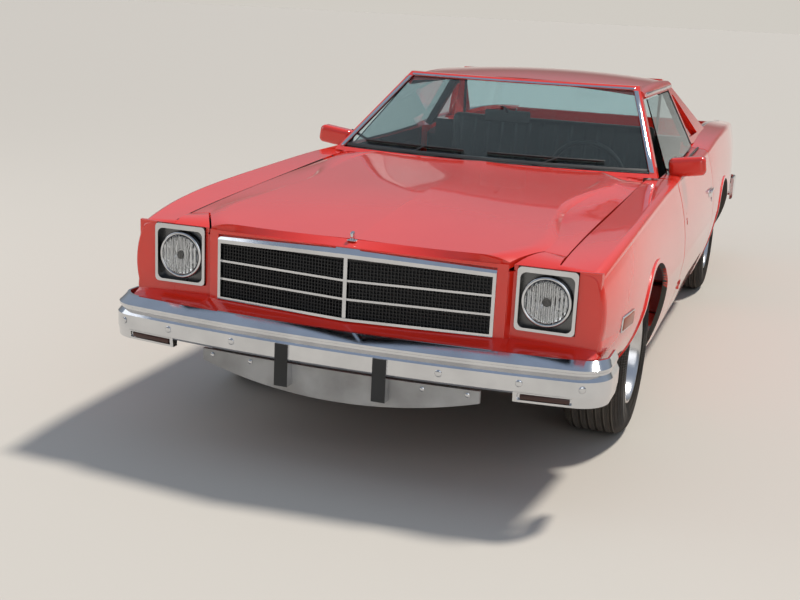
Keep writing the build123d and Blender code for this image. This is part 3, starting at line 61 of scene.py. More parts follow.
# The studio: a wide pale floor that the vehicle stands on, a sky that is pale at its foot and blue
# overhead, a softened sun and two soft lamps.
floor_color, floor_rough = (0.54, 0.505, 0.455), 0.85
sky_strength, plain_sky_color = 0.62, (0.63, 0.60, 0.55)
sun_strength, sun_softness, sun_color = 3.3, 6, (1.0, 0.95, 0.87)
sun_way = (-0.36, -0.54, -1.0)
lamp_aim = (0, 0, 0.5)
bpy.context.scene.view_settings.view_transform = "Standard"


def preset(node, name, value):
    """Sets the value of a node's input."""
    node.inputs[name].default_value = value


bpy.ops.object.select_all(action="DESELECT")
bpy.ops.mesh.primitive_plane_add(size=600, location=(0, 0, 0))
floor = bpy.context.object
floor.name = "studio_floor"
floor_paint = bpy.data.materials.new("studio_floor")
floor_paint.use_nodes = True
floor_shader = floor_paint.node_tree.nodes["Principled BSDF"]
preset(floor_shader, "Base Color", (*floor_color, 1))
preset(floor_shader, "Roughness", floor_rough)
floor.data.materials.append(floor_paint)


def link(tree, start, output, end, into):
    """Joins an output of one node to an input of another."""
    tree.links.new(start.outputs[output], end.inputs[into])


world = bpy.data.worlds.new("studio_sky")
bpy.context.scene.world = world
world.use_nodes = True
sky = world.node_tree
sky_place = sky.nodes.new("ShaderNodeTexCoord")
sky_height = sky.nodes.new("ShaderNodeSeparateXYZ")
sky_ramp = sky.nodes.new("ShaderNodeValToRGB")
sky_light, sky_end = sky.nodes["Background"], sky.nodes["World Output"]
link(sky, sky_place, "Generated", sky_height, "Vector")
link(sky, sky_height, "Z", sky_ramp, "Fac")
link(sky, sky_ramp, "Color", sky_light, "Color")
# columns: height on the sky, colour
sky_colors = ((0.0, (0.93, 0.88, 0.80)), (0.03, (0.80, 0.77, 0.72)), (0.10, (0.26, 0.26, 0.25)),
              (0.22, (0.40, 0.44, 0.49)), (0.45, (0.50, 0.58, 0.70)), (0.95, (0.44, 0.54, 0.72)))
for element, (position, color) in zip(sky_ramp.color_ramp.elements, (sky_colors[0], sky_colors[-1])):
    element.position = position
    element.color = (*color, 1)
for position, color in sky_colors[1:-1]:
    sky_ramp.color_ramp.elements.new(position).color = (*color, 1)
preset(sky_light, "Strength", sky_strength)
# Where the camera sees past the floor, straight or through a pane, it sees the floor's own pale tone
sky_plain = sky.nodes.new("ShaderNodeBackground")
preset(sky_plain, "Color", (*plain_sky_color, 1))
sky_rays = sky.nodes.new("ShaderNodeLightPath")
sky_seen = sky.nodes.new("ShaderNodeMath")
sky_seen.operation = "MAXIMUM"
sky_mix = sky.nodes.new("ShaderNodeMixShader")
link(sky, sky_rays, "Is Camera Ray", sky_seen, 0)
link(sky, sky_rays, "Is Transmission Ray", sky_seen, 1)
link(sky, sky_seen, "Value", sky_mix, "Fac")
link(sky, sky_light, "Background", sky_mix, 1)
link(sky, sky_plain, "Background", sky_mix, 2)
link(sky, sky_mix, "Shader", sky_end, "Surface")

# The sun stands high behind the driver's side, softened as by a large diffuser
sun = bpy.data.objects.new("lamp_sun", bpy.data.lights.new("lamp_sun", "SUN"))
bpy.context.scene.collection.objects.link(sun)
sun.data.energy = sun_strength
sun.data.angle = math.radians(sun_softness)
sun.data.color = sun_color
sun.rotation_euler = Vector(sun_way).to_track_quat("-Z", "Y").to_euler()

# columns: name, place, size, watts
for name, place, size, watts in (("front", (3.5, -7.5, 3.2), 4.0, 60), ("fill", (-7.0, -3.0, 4.5), 5.0, 90)):
    lamp = bpy.data.objects.new("lamp_" + name, bpy.data.lights.new("lamp_" + name, "AREA"))
    bpy.context.scene.collection.objects.link(lamp)
    lamp.data.size = size
    lamp.data.energy = watts
    lamp.location = place
    lamp.rotation_euler = (Vector(lamp_aim) - Vector(place)).to_track_quat("-Z", "Y").to_euler()

# Frame and running gear: pressed steel rails under the cab and the bed, with the suspension bolted
# to them, all sprayed satin black; the springs are wound steel rod between the axle and the rails.
def effect_group(name, inputs, outputs):
    """A node group with named number sockets, and its nodes for the input, the output and the place."""
    group = bpy.data.node_groups.new(name, "ShaderNodeTree")
    add_socket = group.interface.new_socket
    for socket, value in inputs:
        add_socket(socket, in_out="INPUT", socket_type="NodeSocketFloat").default_value = value
    for socket in outputs:
        add_socket(socket, in_out="OUTPUT", socket_type="NodeSocketFloat")
    kinds = ("NodeGroupInput", "NodeGroupOutput", "ShaderNodeTexCoord")
    return group, *[group.nodes.new(kind) for kind in kinds]


mottle, group_in, group_out, place_on = effect_group(
    "mottle", (("Scale", 6.0), ("Grain Scale", 300.0)), ("Patches", "Grain"))
patch_noise = mottle.nodes.new("ShaderNodeTexNoise")
preset(patch_noise, "Detail", 5.0)
grain_noise = mottle.nodes.new("ShaderNodeTexNoise")
preset(grain_noise, "Detail", 2.0)
patch_range = mottle.nodes.new("ShaderNodeMapRange")
preset(patch_range, "From Min", 0.35)
preset(patch_range, "From Max", 0.68)
link(mottle, place_on, "Object", patch_noise, "Vector")
link(mottle, place_on, "Object", grain_noise, "Vector")
link(mottle, group_in, "Scale", patch_noise, "Scale")
link(mottle, group_in, "Grain Scale", grain_noise, "Scale")
link(mottle, patch_noise, "Fac", patch_range, "Value")
link(mottle, patch_range, "Result", group_out, "Patches")
link(mottle, grain_noise, "Fac", group_out, "Grain")

road_dust, group_in, group_out, place_on = effect_group(
    "road_dust", (("Top", 0.6), ("Amount", 0.5)), ("Mask",))
height = road_dust.nodes.new("ShaderNodeSeparateXYZ")
fade = road_dust.nodes.new("ShaderNodeMapRange")
preset(fade, "From Min", 0.0)
preset(fade, "To Min", 1.0)
preset(fade, "To Max", 0.0)
cloud = road_dust.nodes.new("ShaderNodeTexNoise")
preset(cloud, "Scale", 9.0)
preset(cloud, "Detail", 6.0)
clouded = road_dust.nodes.new("ShaderNodeMath")
clouded.operation = "MULTIPLY"
scaled = road_dust.nodes.new("ShaderNodeMath")
scaled.operation = "MULTIPLY"
link(road_dust, place_on, "Object", height, "Vector")
link(road_dust, place_on, "Object", cloud, "Vector")
link(road_dust, height, "Z", fade, "Value")
link(road_dust, group_in, "Top", fade, "From Max")
link(road_dust, fade, "Result", clouded, 0)
link(road_dust, cloud, "Fac", clouded, 1)
link(road_dust, clouded, "Value", scaled, 0)
link(road_dust, group_in, "Amount", scaled, 1)
link(road_dust, scaled, "Value", group_out, "Mask")

dust_color = (0.30, 0.25, 0.20)


def finish(name, color, worn_color, rough, worn_rough, metal=0.0, coat=0.0, patches=6.0, grain=300.0,
           relief=0.0002, dust=0.0, dust_top=0.6):
    """A finish whose colour and gloss drift in patches, with a fine grain and road dust low down."""
    material = bpy.data.materials.new(name)
    material.use_nodes = True
    tree = material.node_tree
    shader = tree.nodes["Principled BSDF"]
    preset(shader, "Metallic", metal)
    preset(shader, "Coat Weight", coat)
    preset(shader, "Coat Roughness", 0.04)
    effect = tree.nodes.new("ShaderNodeGroup")
    effect.node_tree = mottle
    preset(effect, "Scale", patches)
    preset(effect, "Grain Scale", grain)
    tint = tree.nodes.new("ShaderNodeMix")
    tint.data_type = "RGBA"
    preset(tint, "A", (*color, 1))
    preset(tint, "B", (*worn_color, 1))
    gloss = tree.nodes.new("ShaderNodeMapRange")
    preset(gloss, "To Min", rough)
    preset(gloss, "To Max", worn_rough)
    link(tree, effect, "Patches", tint, "Factor")
    link(tree, effect, "Patches", gloss, "Value")
    color_out, gloss_out = tint.outputs["Result"], gloss.outputs["Result"]
    if dust:
        dusty = tree.nodes.new("ShaderNodeGroup")
        dusty.node_tree = road_dust
        preset(dusty, "Top", dust_top)
        preset(dusty, "Amount", dust)
        soiled = tree.nodes.new("ShaderNodeMix")
        soiled.data_type = "RGBA"
        preset(soiled, "B", (*dust_color, 1))
        dulled = tree.nodes.new("ShaderNodeMix")
        preset(dulled, "B", 0.85)
        link(tree, dusty, "Mask", soiled, "Factor")
        link(tree, dusty, "Mask", dulled, "Factor")
        tree.links.new(color_out, soiled.inputs["A"])
        tree.links.new(gloss_out, dulled.inputs["A"])
        color_out, gloss_out = soiled.outputs["Result"], dulled.outputs["Result"]
    tree.links.new(color_out, shader.inputs["Base Color"])
    tree.links.new(gloss_out, shader.inputs["Roughness"])
    bump = tree.nodes.new("ShaderNodeBump")
    preset(bump, "Strength", 1.0)
    preset(bump, "Distance", relief)
    link(tree, effect, "Grain", bump, "Height")
    link(tree, bump, "Normal", shader, "Normal")
    return material


def painted(material, *names):
    """Gives nodes of the vehicle their finish."""
    for name in names:
        nodes[name].data.materials.clear()
        nodes[name].data.materials.append(material)


def fresh():
    """Leaves edit mode and deselects everything, ready for the next piece."""
    if bpy.context.object and bpy.context.object.mode != "OBJECT":
        bpy.ops.object.mode_set(mode="OBJECT")
    bpy.ops.object.select_all(action="DESELECT")


def alone(piece):
    """Selects one piece and makes it the active one."""
    fresh()
    piece.select_set(True)
    bpy.context.view_layer.objects.active = piece


def worked(piece, kind, **settings):
    """Puts a modifier with its settings on the piece and applies it."""
    alone(piece)
    modifier = piece.modifiers.new(kind.lower(), kind)
    for key, value in settings.items():
        setattr(modifier, key, value)
    bpy.ops.object.modifier_apply(modifier=modifier.name)


def settled(piece, name, body, material, angle=35):
    """Names a finished piece, gives it its finish and lets it move with a body of the vehicle."""
    alone(piece)
    piece.name = name
    piece.data.name = name
    bpy.ops.object.transform_apply(location=True, rotation=True, scale=True)
    bpy.ops.object.shade_smooth_by_angle(angle=math.radians(angle))
    piece.data.materials.clear()
    piece.data.materials.append(material)
    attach(piece, body)


chassis_black = finish("chassis_black", (0.016, 0.016, 0.017), (0.045, 0.04, 0.036), 0.45, 0.7,
                       dust=0.9, dust_top=0.7)
cast_iron = finish("cast_engine", (0.42, 0.15, 0.045), (0.20, 0.09, 0.05), 0.45, 0.7, grain=160,
                   relief=0.0006)
hub_iron = finish("hub_iron", (0.16, 0.12, 0.10), (0.08, 0.05, 0.04), 0.6, 0.8, metal=0.5, grain=160,
                  relief=0.0005)
dull_steel = finish("pipe_steel", (0.36, 0.34, 0.32), (0.22, 0.15, 0.10), 0.35, 0.6, metal=0.9)
painted(chassis_black, "chassis_frame", "front_suspension", "rear_axle", "inner_fenders",
        "radiator_support")
painted(cast_iron, "engine_block")
painted(hub_iron, "knuckle_left", "knuckle_right")
painted(dull_steel, "exhaust_system", "fuel_tank")

sides = (("left", 1), ("right", -1))
spring_rod, spring_radius, spring_turns, spring_steps = 0.007, 0.060, 3.2, 90
spring_x, spring_low, spring_high = 0.5, 0.376, 0.448
spring_y = (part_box("tyre_rear_left")[0].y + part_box("tyre_rear_left")[1].y) / 2
for hand, sign in sides:
    fresh()
    bpy.ops.mesh.primitive_circle_add(vertices=10, radius=spring_rod, location=(spring_radius, 0, 0),
                                      rotation=(math.pi / 2, 0, 0))
    spring = bpy.context.object
    bpy.ops.object.transform_apply(location=True, rotation=True, scale=True)
    worked(spring, "SCREW", angle=2 * math.pi * spring_turns, steps=spring_steps,
           render_steps=spring_steps, screw_offset=spring_high - spring_low, use_merge_vertices=True)
    spring.location = (sign * spring_x, spring_y, spring_low)
    settled(spring, "rear_spring_" + hand, "body", chassis_black)

# Engine dressing: pressed steel covers bolted on the two banks of cylinders and a round chromed air
# cleaner between them, seen with the bonnet up.
engine_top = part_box("engine_block")[1].z
engine_mid_y = -1.365
cover_size, cover_x = (0.15, 0.56, 0.07), 0.185


def block(size, place, round_off, turn=(0, 0, 0), steps=2):
    """A block of a size, turned about its middle, with its edges rounded off."""
    fresh()
    bpy.ops.mesh.primitive_cube_add(size=1, location=place, rotation=turn)
    piece = bpy.context.object
    piece.scale = size
    bpy.ops.object.transform_apply(location=False, rotation=False, scale=True)
    bpy.ops.object.mode_set(mode="EDIT")
    bpy.ops.mesh.select_all(action="SELECT")
    bpy.ops.mesh.bevel(offset=round_off, segments=steps, affect="EDGES")
    bpy.ops.object.mode_set(mode="OBJECT")
    alone(piece)
    bpy.ops.object.transform_apply(location=True, rotation=True, scale=True)
    return piece


def joined(pieces):
    """One piece made of several."""
    fresh()
    for piece in pieces:
        piece.select_set(True)
    bpy.context.view_layer.objects.active = pieces[0]
    if len(pieces) > 1:
        bpy.ops.object.join()
    return pieces[0]


def turned(rows, segments, place, aim=(1, 0, 0), ring=False):
    """A turned piece through (distance, radius) rows along aim; a ring's last row meets its first."""
    fresh()
    bpy.ops.mesh.primitive_circle_add(vertices=segments, radius=rows[0][1],
                                      fill_type="NOTHING" if ring else "NGON")
    piece = bpy.context.object
    bpy.ops.object.mode_set(mode="EDIT")
    bpy.ops.mesh.select_mode(type="VERT")
    bpy.ops.mesh.select_all(action="SELECT")
    bpy.ops.transform.translate(value=(0, 0, rows[0][0]))
    for (here, wide), (there, next_wide) in zip(rows, rows[1:]):
        bpy.ops.mesh.extrude_region_move(TRANSFORM_OT_translate={"value": (0, 0, there - here)})
        grow = next_wide / wide
        bpy.ops.transform.resize(value=(grow, grow, 1), center_override=(0, 0, there))
    bpy.ops.mesh.select_all(action="SELECT")
    bpy.ops.mesh.remove_doubles(threshold=0.00001)
    bpy.ops.mesh.normals_make_consistent(inside=False)
    bpy.ops.object.mode_set(mode="OBJECT")
    piece.rotation_euler = Vector(aim).to_track_quat("Z", "Y").to_euler()
    piece.location = place
    bpy.ops.object.transform_apply(location=True, rotation=True, scale=True)
    return piece


bright_chrome = finish("bright_chrome", (0.70, 0.71, 0.73), (0.62, 0.63, 0.65), 0.045, 0.10, metal=1.0,
                       patches=9, grain=900, relief=0.00002, dust=0.18, dust_top=0.55)


def chromed(piece, name, body="body", angle=35):
    """Finishes a piece in polished chrome."""
    settled(piece, name, body, bright_chrome, angle)


covers = [block(cover_size, (sign * cover_x, engine_mid_y, engine_top + 0.02), 0.018) for sign in (-1, 1)]
settled(joined(covers), "engine_covers", "body", cast_iron)
cleaner = turned([(0, 0.09), (0, 0.165), (0.006, 0.178), (0.044, 0.178), (0.052, 0.17), (0.056, 0.06),
                  (0.060, 0.02)], 64, (0, engine_mid_y, engine_top + 0.012), (0, 0, 1))
chromed(cleaner, "air_cleaner")

# Tyres: black rubber, low and wide, with a smooth bulged wall, round shoulders and a road tread of five
# ribs; each is pressed onto its rim and turns with the wheel.
tyre_rubber = finish("tyre_rubber", (0.018, 0.018, 0.019), (0.035, 0.034, 0.033), 0.55, 0.75, grain=500,
                     relief=0.0003, dust=0.5, dust_top=1.2)
tread_segments = 180
tread_radius, groove_depth = 0.334, 0.007
bead_radius, bead_half = 0.2045, 0.1015
rib_edges = (0.078, 0.046, 0.016)
groove_half = 0.0045
land_radius, groove_radius = tread_radius - 0.0004, tread_radius - groove_depth
middle_half, notch_spacing, notch_inset = 0.017, 4, 0.0016
# columns: distance from the middle of the wheel, radius, from the bead out to the tread
half_rows = [(bead_half, bead_radius), (0.1065, 0.212), (0.1165, 0.226), (0.1235, 0.246), (0.125, 0.266),
             (0.1225, 0.288), (0.1165, 0.305), (0.108, 0.317), (0.098, 0.325), (0.088, 0.330),
             (rib_edges[0] + groove_half, tread_radius - 0.0015)]
for i, edge in enumerate(rib_edges):
    half_rows += [(edge + groove_half, groove_radius), (edge - groove_half, groove_radius),
                  (edge - groove_half, land_radius)]
    if i + 1 < len(rib_edges):
        half_rows.append((rib_edges[i + 1] + groove_half, land_radius))
all_rows = half_rows + [(-x, r) for x, r in reversed(half_rows)]
all_rows += [(-bead_half + 0.002, bead_radius - 0.004), (bead_half - 0.002, bead_radius - 0.004), all_rows[0]]
tyre = turned(all_rows, tread_segments, (0, 0, 0), (1, 0, 0), ring=True)
alone(tyre)
for face in tyre.data.polygons:
    centre = face.center
    radius = math.hypot(centre.y, centre.z)
    step = int((math.atan2(centre.z, centre.y) + math.pi) / (2 * math.pi) * tread_segments + 0.01)
    offset = sum(abs(centre.x) > edge for edge in rib_edges) + int(centre.x > 0)
    on_tread = radius > tread_radius - groove_depth / 2 and abs(centre.x) > middle_half
    face.select = on_tread and (step + offset) % notch_spacing == 0
bpy.ops.object.mode_set(mode="EDIT")
bpy.ops.mesh.select_mode(type="FACE")
bpy.ops.mesh.inset(thickness=notch_inset, depth=-groove_depth * 0.7, use_individual=True)
bpy.ops.object.mode_set(mode="OBJECT")
wheel_places = {}
for axle in ("front", "rear"):
    for hand in ("left", "right"):
        low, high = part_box(f"tyre_{axle}_{hand}")
        wheel_places[f"{axle}_{hand}"] = (low + high) / 2
for corner, place in wheel_places.items():
    copy = tyre.copy()
    copy.data = tyre.data.copy()
    bpy.context.scene.collection.objects.link(copy)
    copy.location = place
    settled(copy, "tyre_tread_" + corner, "wheel_" + corner, tyre_rubber, 50)
    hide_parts("tyre_" + corner)
bpy.data.objects.remove(tyre)

# Rims: cast alloy with a deep polished lip, five tapered spokes with a raised rib, a domed cap, five
# chromed nuts and a valve; each is bolted to its hub.
polished_lip = finish("rim_alloy", (0.80, 0.80, 0.81), (0.66, 0.66, 0.67), 0.07, 0.16, metal=1.0, patches=14,
                      grain=700, relief=0.00003, dust=0.35, dust_top=0.8)
cast_spokes = finish("cast_spokes", (0.42, 0.42, 0.43), (0.30, 0.30, 0.31), 0.28, 0.45, metal=1.0, patches=18,
                     grain=260, relief=0.0002, dust=0.5, dust_top=0.8)
lip_radius, lip_half, barrel_radius = 0.2038, 0.1128, 0.1815
disc_face, disc_back, spoke_count = 0.050, 0.020, 5
spoke_width, spoke_length, spoke_middle = 0.058, 0.128, 0.108
nut_circle, valve_seat = 0.048, (0, 0.075, 0.153)


def rim(place, sign, corner):
    """One wheel rim, its polished side towards sign."""
    outward = (sign, 0, 0)
    barrel = turned([(lip_half - 0.004, lip_radius), (lip_half - 0.0008, lip_radius - 0.0035),
                     (lip_half - 0.0008, lip_radius - 0.009), (lip_half - 0.004, lip_radius - 0.0125),
                     (lip_half - 0.014, barrel_radius + 0.0065), (0.085, barrel_radius),
                     (disc_face + 0.008, barrel_radius - 0.004), (disc_face + 0.003, barrel_radius - 0.016),
                     (disc_face - 0.012, barrel_radius - 0.018), (0.0, barrel_radius - 0.012),
                     (-0.06, 0.176), (-0.105, 0.184), (-lip_half + 0.001, lip_radius - 0.006),
                     (-lip_half + 0.003, lip_radius), (-lip_half + 0.008, lip_radius), (-0.1, 0.1905),
                     (0.1, 0.1905), (lip_half - 0.009, lip_radius), (lip_half - 0.004, lip_radius)],
                    96, place, outward, ring=True)
    settled(barrel, "rim_lip_" + corner, "wheel_" + corner, polished_lip, 30)
    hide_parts("rim_" + corner)
    spokes = []
    for i in range(spoke_count):
        angle = 2 * math.pi * i / spoke_count
        spoke = block((disc_face - disc_back, spoke_width, spoke_length),
                      ((disc_face + disc_back) / 2, 0, spoke_middle), 0.006)
        for share, wide in ((0.172, 1.42), (0.044, 0.78)):
            alone(spoke)
            for corner_point in spoke.data.vertices:
                corner_point.select = abs(corner_point.co.z - share) < 0.008
            bpy.ops.object.mode_set(mode="EDIT")
            bpy.ops.transform.resize(value=(1, wide, 1), center_override=(0, 0, share))
            bpy.ops.object.mode_set(mode="OBJECT")
        rib = block((0.020, 0.020, 0.062), (disc_face + 0.0005, 0, 0.118), 0.006)
        both = joined([spoke, rib])
        both.rotation_euler = (angle, 0, 0)
        bpy.ops.object.transform_apply(location=True, rotation=True, scale=True)
        spokes.append(both)
    star = joined(spokes)
    star.scale = (sign, 1, 1)
    bpy.ops.object.transform_apply(location=False, rotation=False, scale=True)
    star.location = place
    bpy.ops.object.transform_apply(location=True, rotation=True, scale=True)
    bpy.ops.object.mode_set(mode="EDIT")
    bpy.ops.mesh.select_all(action="SELECT")
    bpy.ops.mesh.normals_make_consistent(inside=False)
    bpy.ops.object.mode_set(mode="OBJECT")
    centre = turned([(disc_back - 0.006, 0.05), (disc_back - 0.006, 0.066), (disc_face - 0.004, 0.066),
                     (disc_face + 0.002, 0.061), (disc_face + 0.002, 0.04)], 60, place, outward)
    settled(joined([star, centre]), "rim_spokes_" + corner, "wheel_" + corner, cast_spokes, 40)
    bright = [turned([(disc_face, 0.033), (disc_face + 0.012, 0.033), (disc_face + 0.017, 0.030),
                      (disc_face + 0.020, 0.022), (disc_face + 0.021, 0.006)], 48, place, outward)]
    for i in range(spoke_count):
        angle = 2 * math.pi * (i + 0.5) / spoke_count
        seat = place + Vector((0, nut_circle * math.sin(angle), nut_circle * math.cos(angle)))
        bright.append(turned([(disc_face, 0.0105), (disc_face + 0.011, 0.0105), (disc_face + 0.015, 0.007),
                              (disc_face + 0.016, 0.003)], 6, seat, outward))
    bright.append(turned([(0.058, 0.0045), (0.084, 0.0045), (0.084, 0.0055), (0.094, 0.005)], 12,
                         place + Vector(valve_seat), outward))
    chromed(joined(bright), "rim_nuts_" + corner, "wheel_" + corner, 30)


for corner, place in wheel_places.items():
    rim(place, 1 if corner.endswith("left") else -1, corner)

# Body shell: pressed steel panels, welded and bolted together and sprayed in one bright red, with clear
# lacquer that has stayed glossy; the load bed wears a darker copy of the same red as painted shade inside the
# bed, and it is scratched by what it carried.
body_red = finish("body_red", (0.84, 0.030, 0.012), (0.76, 0.024, 0.010), 0.20, 0.26, coat=1.0, patches=1.4,
                  grain=420, relief=0.00006, dust=0.10, dust_top=0.7)
# The bed liner is the body's red painted darker, as painted shade inside the load bed; its patchy, rougher
# gloss is wear.
liner_red = finish("liner_red", (0.46, 0.014, 0.009), (0.30, 0.016, 0.012), 0.38, 0.62, coat=0.3, patches=5,
                   grain=350, relief=0.0002, dust=0.25, dust_top=1.1)
painted(body_red, "cowl_panel", "cab_shell", "header_panel", "tail_panel", "hood", "tailgate",
        "fender_left", "fender_right", "body_side_left", "body_side_right", "door_left", "door_right")
painted(liner_red, "bed_liner")


def faces_in(node, material, test):
    """Gives the faces of a node whose middles pass the test another finish."""
    mesh = nodes[node].data
    mesh.materials.append(material)
    last = len(mesh.materials) - 1
    for face in mesh.polygons:
        if test(face.center, face.normal):
            face.material_index = last


arch_y, arch_z, arch_reach = (-1.660, 1.286), 0.334, 0.50
arch_lip_x, panel_top = 0.965, 0.93


def arch_inner(c, n):
    """A face that looks at the wheel from its arch, or that looks inwards below the top of the panel."""
    for y in arch_y:
        away = Vector((0, c.y - y, c.z - arch_z))
        if away.length < arch_reach and away.normalized().dot(n) < -0.25:
            return abs(c.x) < arch_lip_x
    return n.x * c.x < 0 and abs(n.x) > 0.35 and c.z < panel_top


for hand in ("left", "right"):
    faces_in("fender_" + hand, chassis_black, arch_inner)
    faces_in("body_side_" + hand, chassis_black, arch_inner)

# Side marker lamps: amber moulded lenses with thin bright frames, set in the side of each wing near its
# front and held from behind.
amber = finish("amber_lens", (0.30, 0.045, 0.005), (0.20, 0.03, 0.004), 0.30, 0.4, coat=0.25, grain=120,
               relief=0.0006)
marker_y, marker_z, marker_size = -2.250, 0.622, (0.140, 0.048)
marker_edge = 0.012


def touch(node, start, way):
    """Where a ray from start along way meets a node, and the surface's direction there."""
    hit, place, normal, face = nodes[node].ray_cast(Vector(start), Vector(way).normalized())
    if not hit:
        raise ValueError(f"nothing of {node} lies on the way from {tuple(start)}")
    return place, normal


for hand, sign in sides:
    place, normal = touch("fender_" + hand, (sign * 1.2, marker_y, marker_z), (-sign, 0, 0))
    lean = math.atan2(normal.z, sign * normal.x)
    swing = math.atan2(-normal.y, sign * normal.x)
    turn = (0, -sign * lean, -sign * swing)
    frame_size = (0.008, marker_size[0] + marker_edge, marker_size[1] + marker_edge)
    bright_frame = block(frame_size, place, 0.003, turn)
    chromed(bright_frame, "marker_frame_" + hand)
    lens = block((0.013, *marker_size), place, 0.004, turn, 3)
    settled(lens, "marker_lens_" + hand, "body", amber)

# Front bumper: chromed pressed steel with two guards faced in black rubber, round-headed bolts through
# its face and parking lamps in the slots of its deep ends.
black_rubber = finish("black_rubber", (0.012, 0.012, 0.012), (0.03, 0.03, 0.03), 0.5, 0.7, grain=400)
painted(bright_chrome, "front_bumper", "rear_bumper", "headlamps", "grille")
guard_half, guard_x = 0.026, 0.186
faces_in("front_bumper", black_rubber,
         lambda c, n: n.y < -0.9 and c.y < -2.729 and abs(abs(c.x) - guard_x) < guard_half + 0.001)
bolt_z, bolt_xs = 0.470, (0.394, 0.669, 0.877)


def bolted(name, node, xs, start_y, z, head, segments, sink=0.0, angle=60):
    """A row of bolts at height z, their heads square on the face that a node turns to start_y."""
    bolts = []
    for x in xs:
        place, normal = touch(node, (x, start_y, z), (0, math.copysign(1, -start_y), 0))
        bolts.append(turned(head, segments, place - normal * sink, normal))
    chromed(joined(bolts), name, angle=angle)


bolted("bumper_bolts", "front_bumper", [s * x for s in (-1, 1) for x in bolt_xs], -3.0, bolt_z,
       [(0, 0.0125), (0.0015, 0.0125), (0.003, 0.010), (0.004, 0.006), (0.0043, 0.002)], 24, sink=0.0004)
smoked = finish("parking_lens", (0.060, 0.012, 0.006), (0.035, 0.008, 0.005), 0.30, 0.4, coat=0.2, grain=90,
                relief=0.0008)
slot_x0, slot_x1, slot_z, slot_sink = 0.672, 0.838, 0.4215, 0.004
bumper_y, bumper_sweep, bumper_half = -2.720, 0.064, 0.85
for hand, sign in sides:
    ends = [(sign * x, bumper_y + bumper_sweep * (x / bumper_half) ** 2 + slot_sink, slot_z)
            for x in (slot_x0, slot_x1)]
    middle = (Vector(ends[0]) + Vector(ends[1])) / 2
    run = Vector(ends[1]) - Vector(ends[0])
    lens = block((run.length, 0.010, 0.019), middle, 0.004, (0, 0, math.atan2(run.y, run.x)))
    settled(lens, "parking_lens_" + hand, "body", smoked)

# Valance: a pressed steel panel in silver-grey paint that closes the space below the bumper, held by four
# bolts with six-sided heads.
silver_paint = finish("valance_silver", (0.42, 0.43, 0.44), (0.30, 0.30, 0.30), 0.30, 0.5, metal=0.5,
                      patches=7, grain=260, relief=0.0001, dust=0.6, dust_top=0.6)
painted(silver_paint, "front_valance")
bolted("valance_bolts", "front_valance", (-0.49, -0.33, 0.33, 0.49), -3.0, 0.396,
       [(0, 0.009), (0.004, 0.009), (0.006, 0.006), (0.0065, 0.002)], 6, angle=40)

# Grille: a chromed frame around a fine black mesh of upright and level bars, with two bright cross bars;
# the mesh is moulded in one and pressed into the frame from behind.
grille_low, grille_high = 0.588, 0.790
grille_centre_y, grille_run, grille_half = -2.618, 0.058, 0.534


def grille_y(x):
    """How far forward the face of the grille stands at x."""
    return grille_centre_y + grille_run * abs(x) / grille_half


mesh_black = finish("grille_black", (0.010, 0.010, 0.011), (0.022, 0.022, 0.023), 0.35, 0.5)
faces_in("grille", mesh_black, lambda c, n: c.y - grille_y(c.x) > 0.0225 and abs(c.x) < 0.5235
         and grille_low - 0.002 < c.z < grille_high + 0.006)
bar_pitch, bar_thick, bar_deep, bar_back = 0.0125, 0.0035, 0.012, 0.020
mesh_start, mesh_end = 0.013, 0.519
lean_y = grille_run / grille_half
halves = []
for sign in (-1, 1):
    upright = block((bar_thick, bar_deep, grille_high - grille_low),
                    (sign * mesh_start, grille_y(mesh_start) + bar_back, (grille_low + grille_high) / 2),
                    0.0006, steps=1)
    worked(upright, "ARRAY", use_relative_offset=False, use_constant_offset=True,
           constant_offset_displace=(sign * bar_pitch, lean_y * bar_pitch, 0),
           count=int((mesh_end - mesh_start) / bar_pitch) + 1)
    length = (mesh_end - mesh_start) * math.hypot(1, lean_y)
    middle_x = (mesh_start + mesh_end) / 2
    level = block((length, bar_deep * 0.7, bar_thick),
                  (sign * middle_x, grille_y(middle_x) + bar_back, grille_low + bar_pitch * 0.6), 0.0006,
                  (0, 0, sign * math.atan(lean_y)), steps=1)
    worked(level, "ARRAY", use_relative_offset=False, use_constant_offset=True,
           constant_offset_displace=(0, 0, bar_pitch), count=int((grille_high - grille_low) / bar_pitch))
    halves += [upright, level]
settled(joined(halves), "grille_mesh", "body", mesh_black)

# Headlamps: a round sealed lamp in each square bezel: a bright ring, a mirrored bowl, a small shield and
# a moulded glass with ribs.
fluting, group_in, group_out, place_on = effect_group(
    "fluting", (("Scale", 26.0), ("Distortion", 0.0)), ("Ribs",))
wave = fluting.nodes.new("ShaderNodeTexWave")
link(fluting, place_on, "Object", wave, "Vector")
link(fluting, group_in, "Scale", wave, "Scale")
link(fluting, group_in, "Distortion", wave, "Distortion")
link(fluting, wave, "Fac", group_out, "Ribs")


def plain(name, color, rough):
    """A material of one even colour and gloss, and its shader."""
    material = bpy.data.materials.new(name)
    material.use_nodes = True
    shader = material.node_tree.nodes["Principled BSDF"]
    preset(shader, "Base Color", (*color, 1))
    preset(shader, "Roughness", rough)
    return material, shader


def glassy(name, color):
    """Clear glass with a light tint."""
    material, shader = plain(name, color, 0.01)
    preset(shader, "IOR", 1.45)
    preset(shader, "Transmission Weight", 1.0)
    return material


lamp_glass = glassy("lamp_glass", (0.97, 0.985, 1.0))
mirror_bowl, shader = plain("mirror_bowl", (0.62, 0.63, 0.64), 0.05)
preset(shader, "Metallic", 1.0)
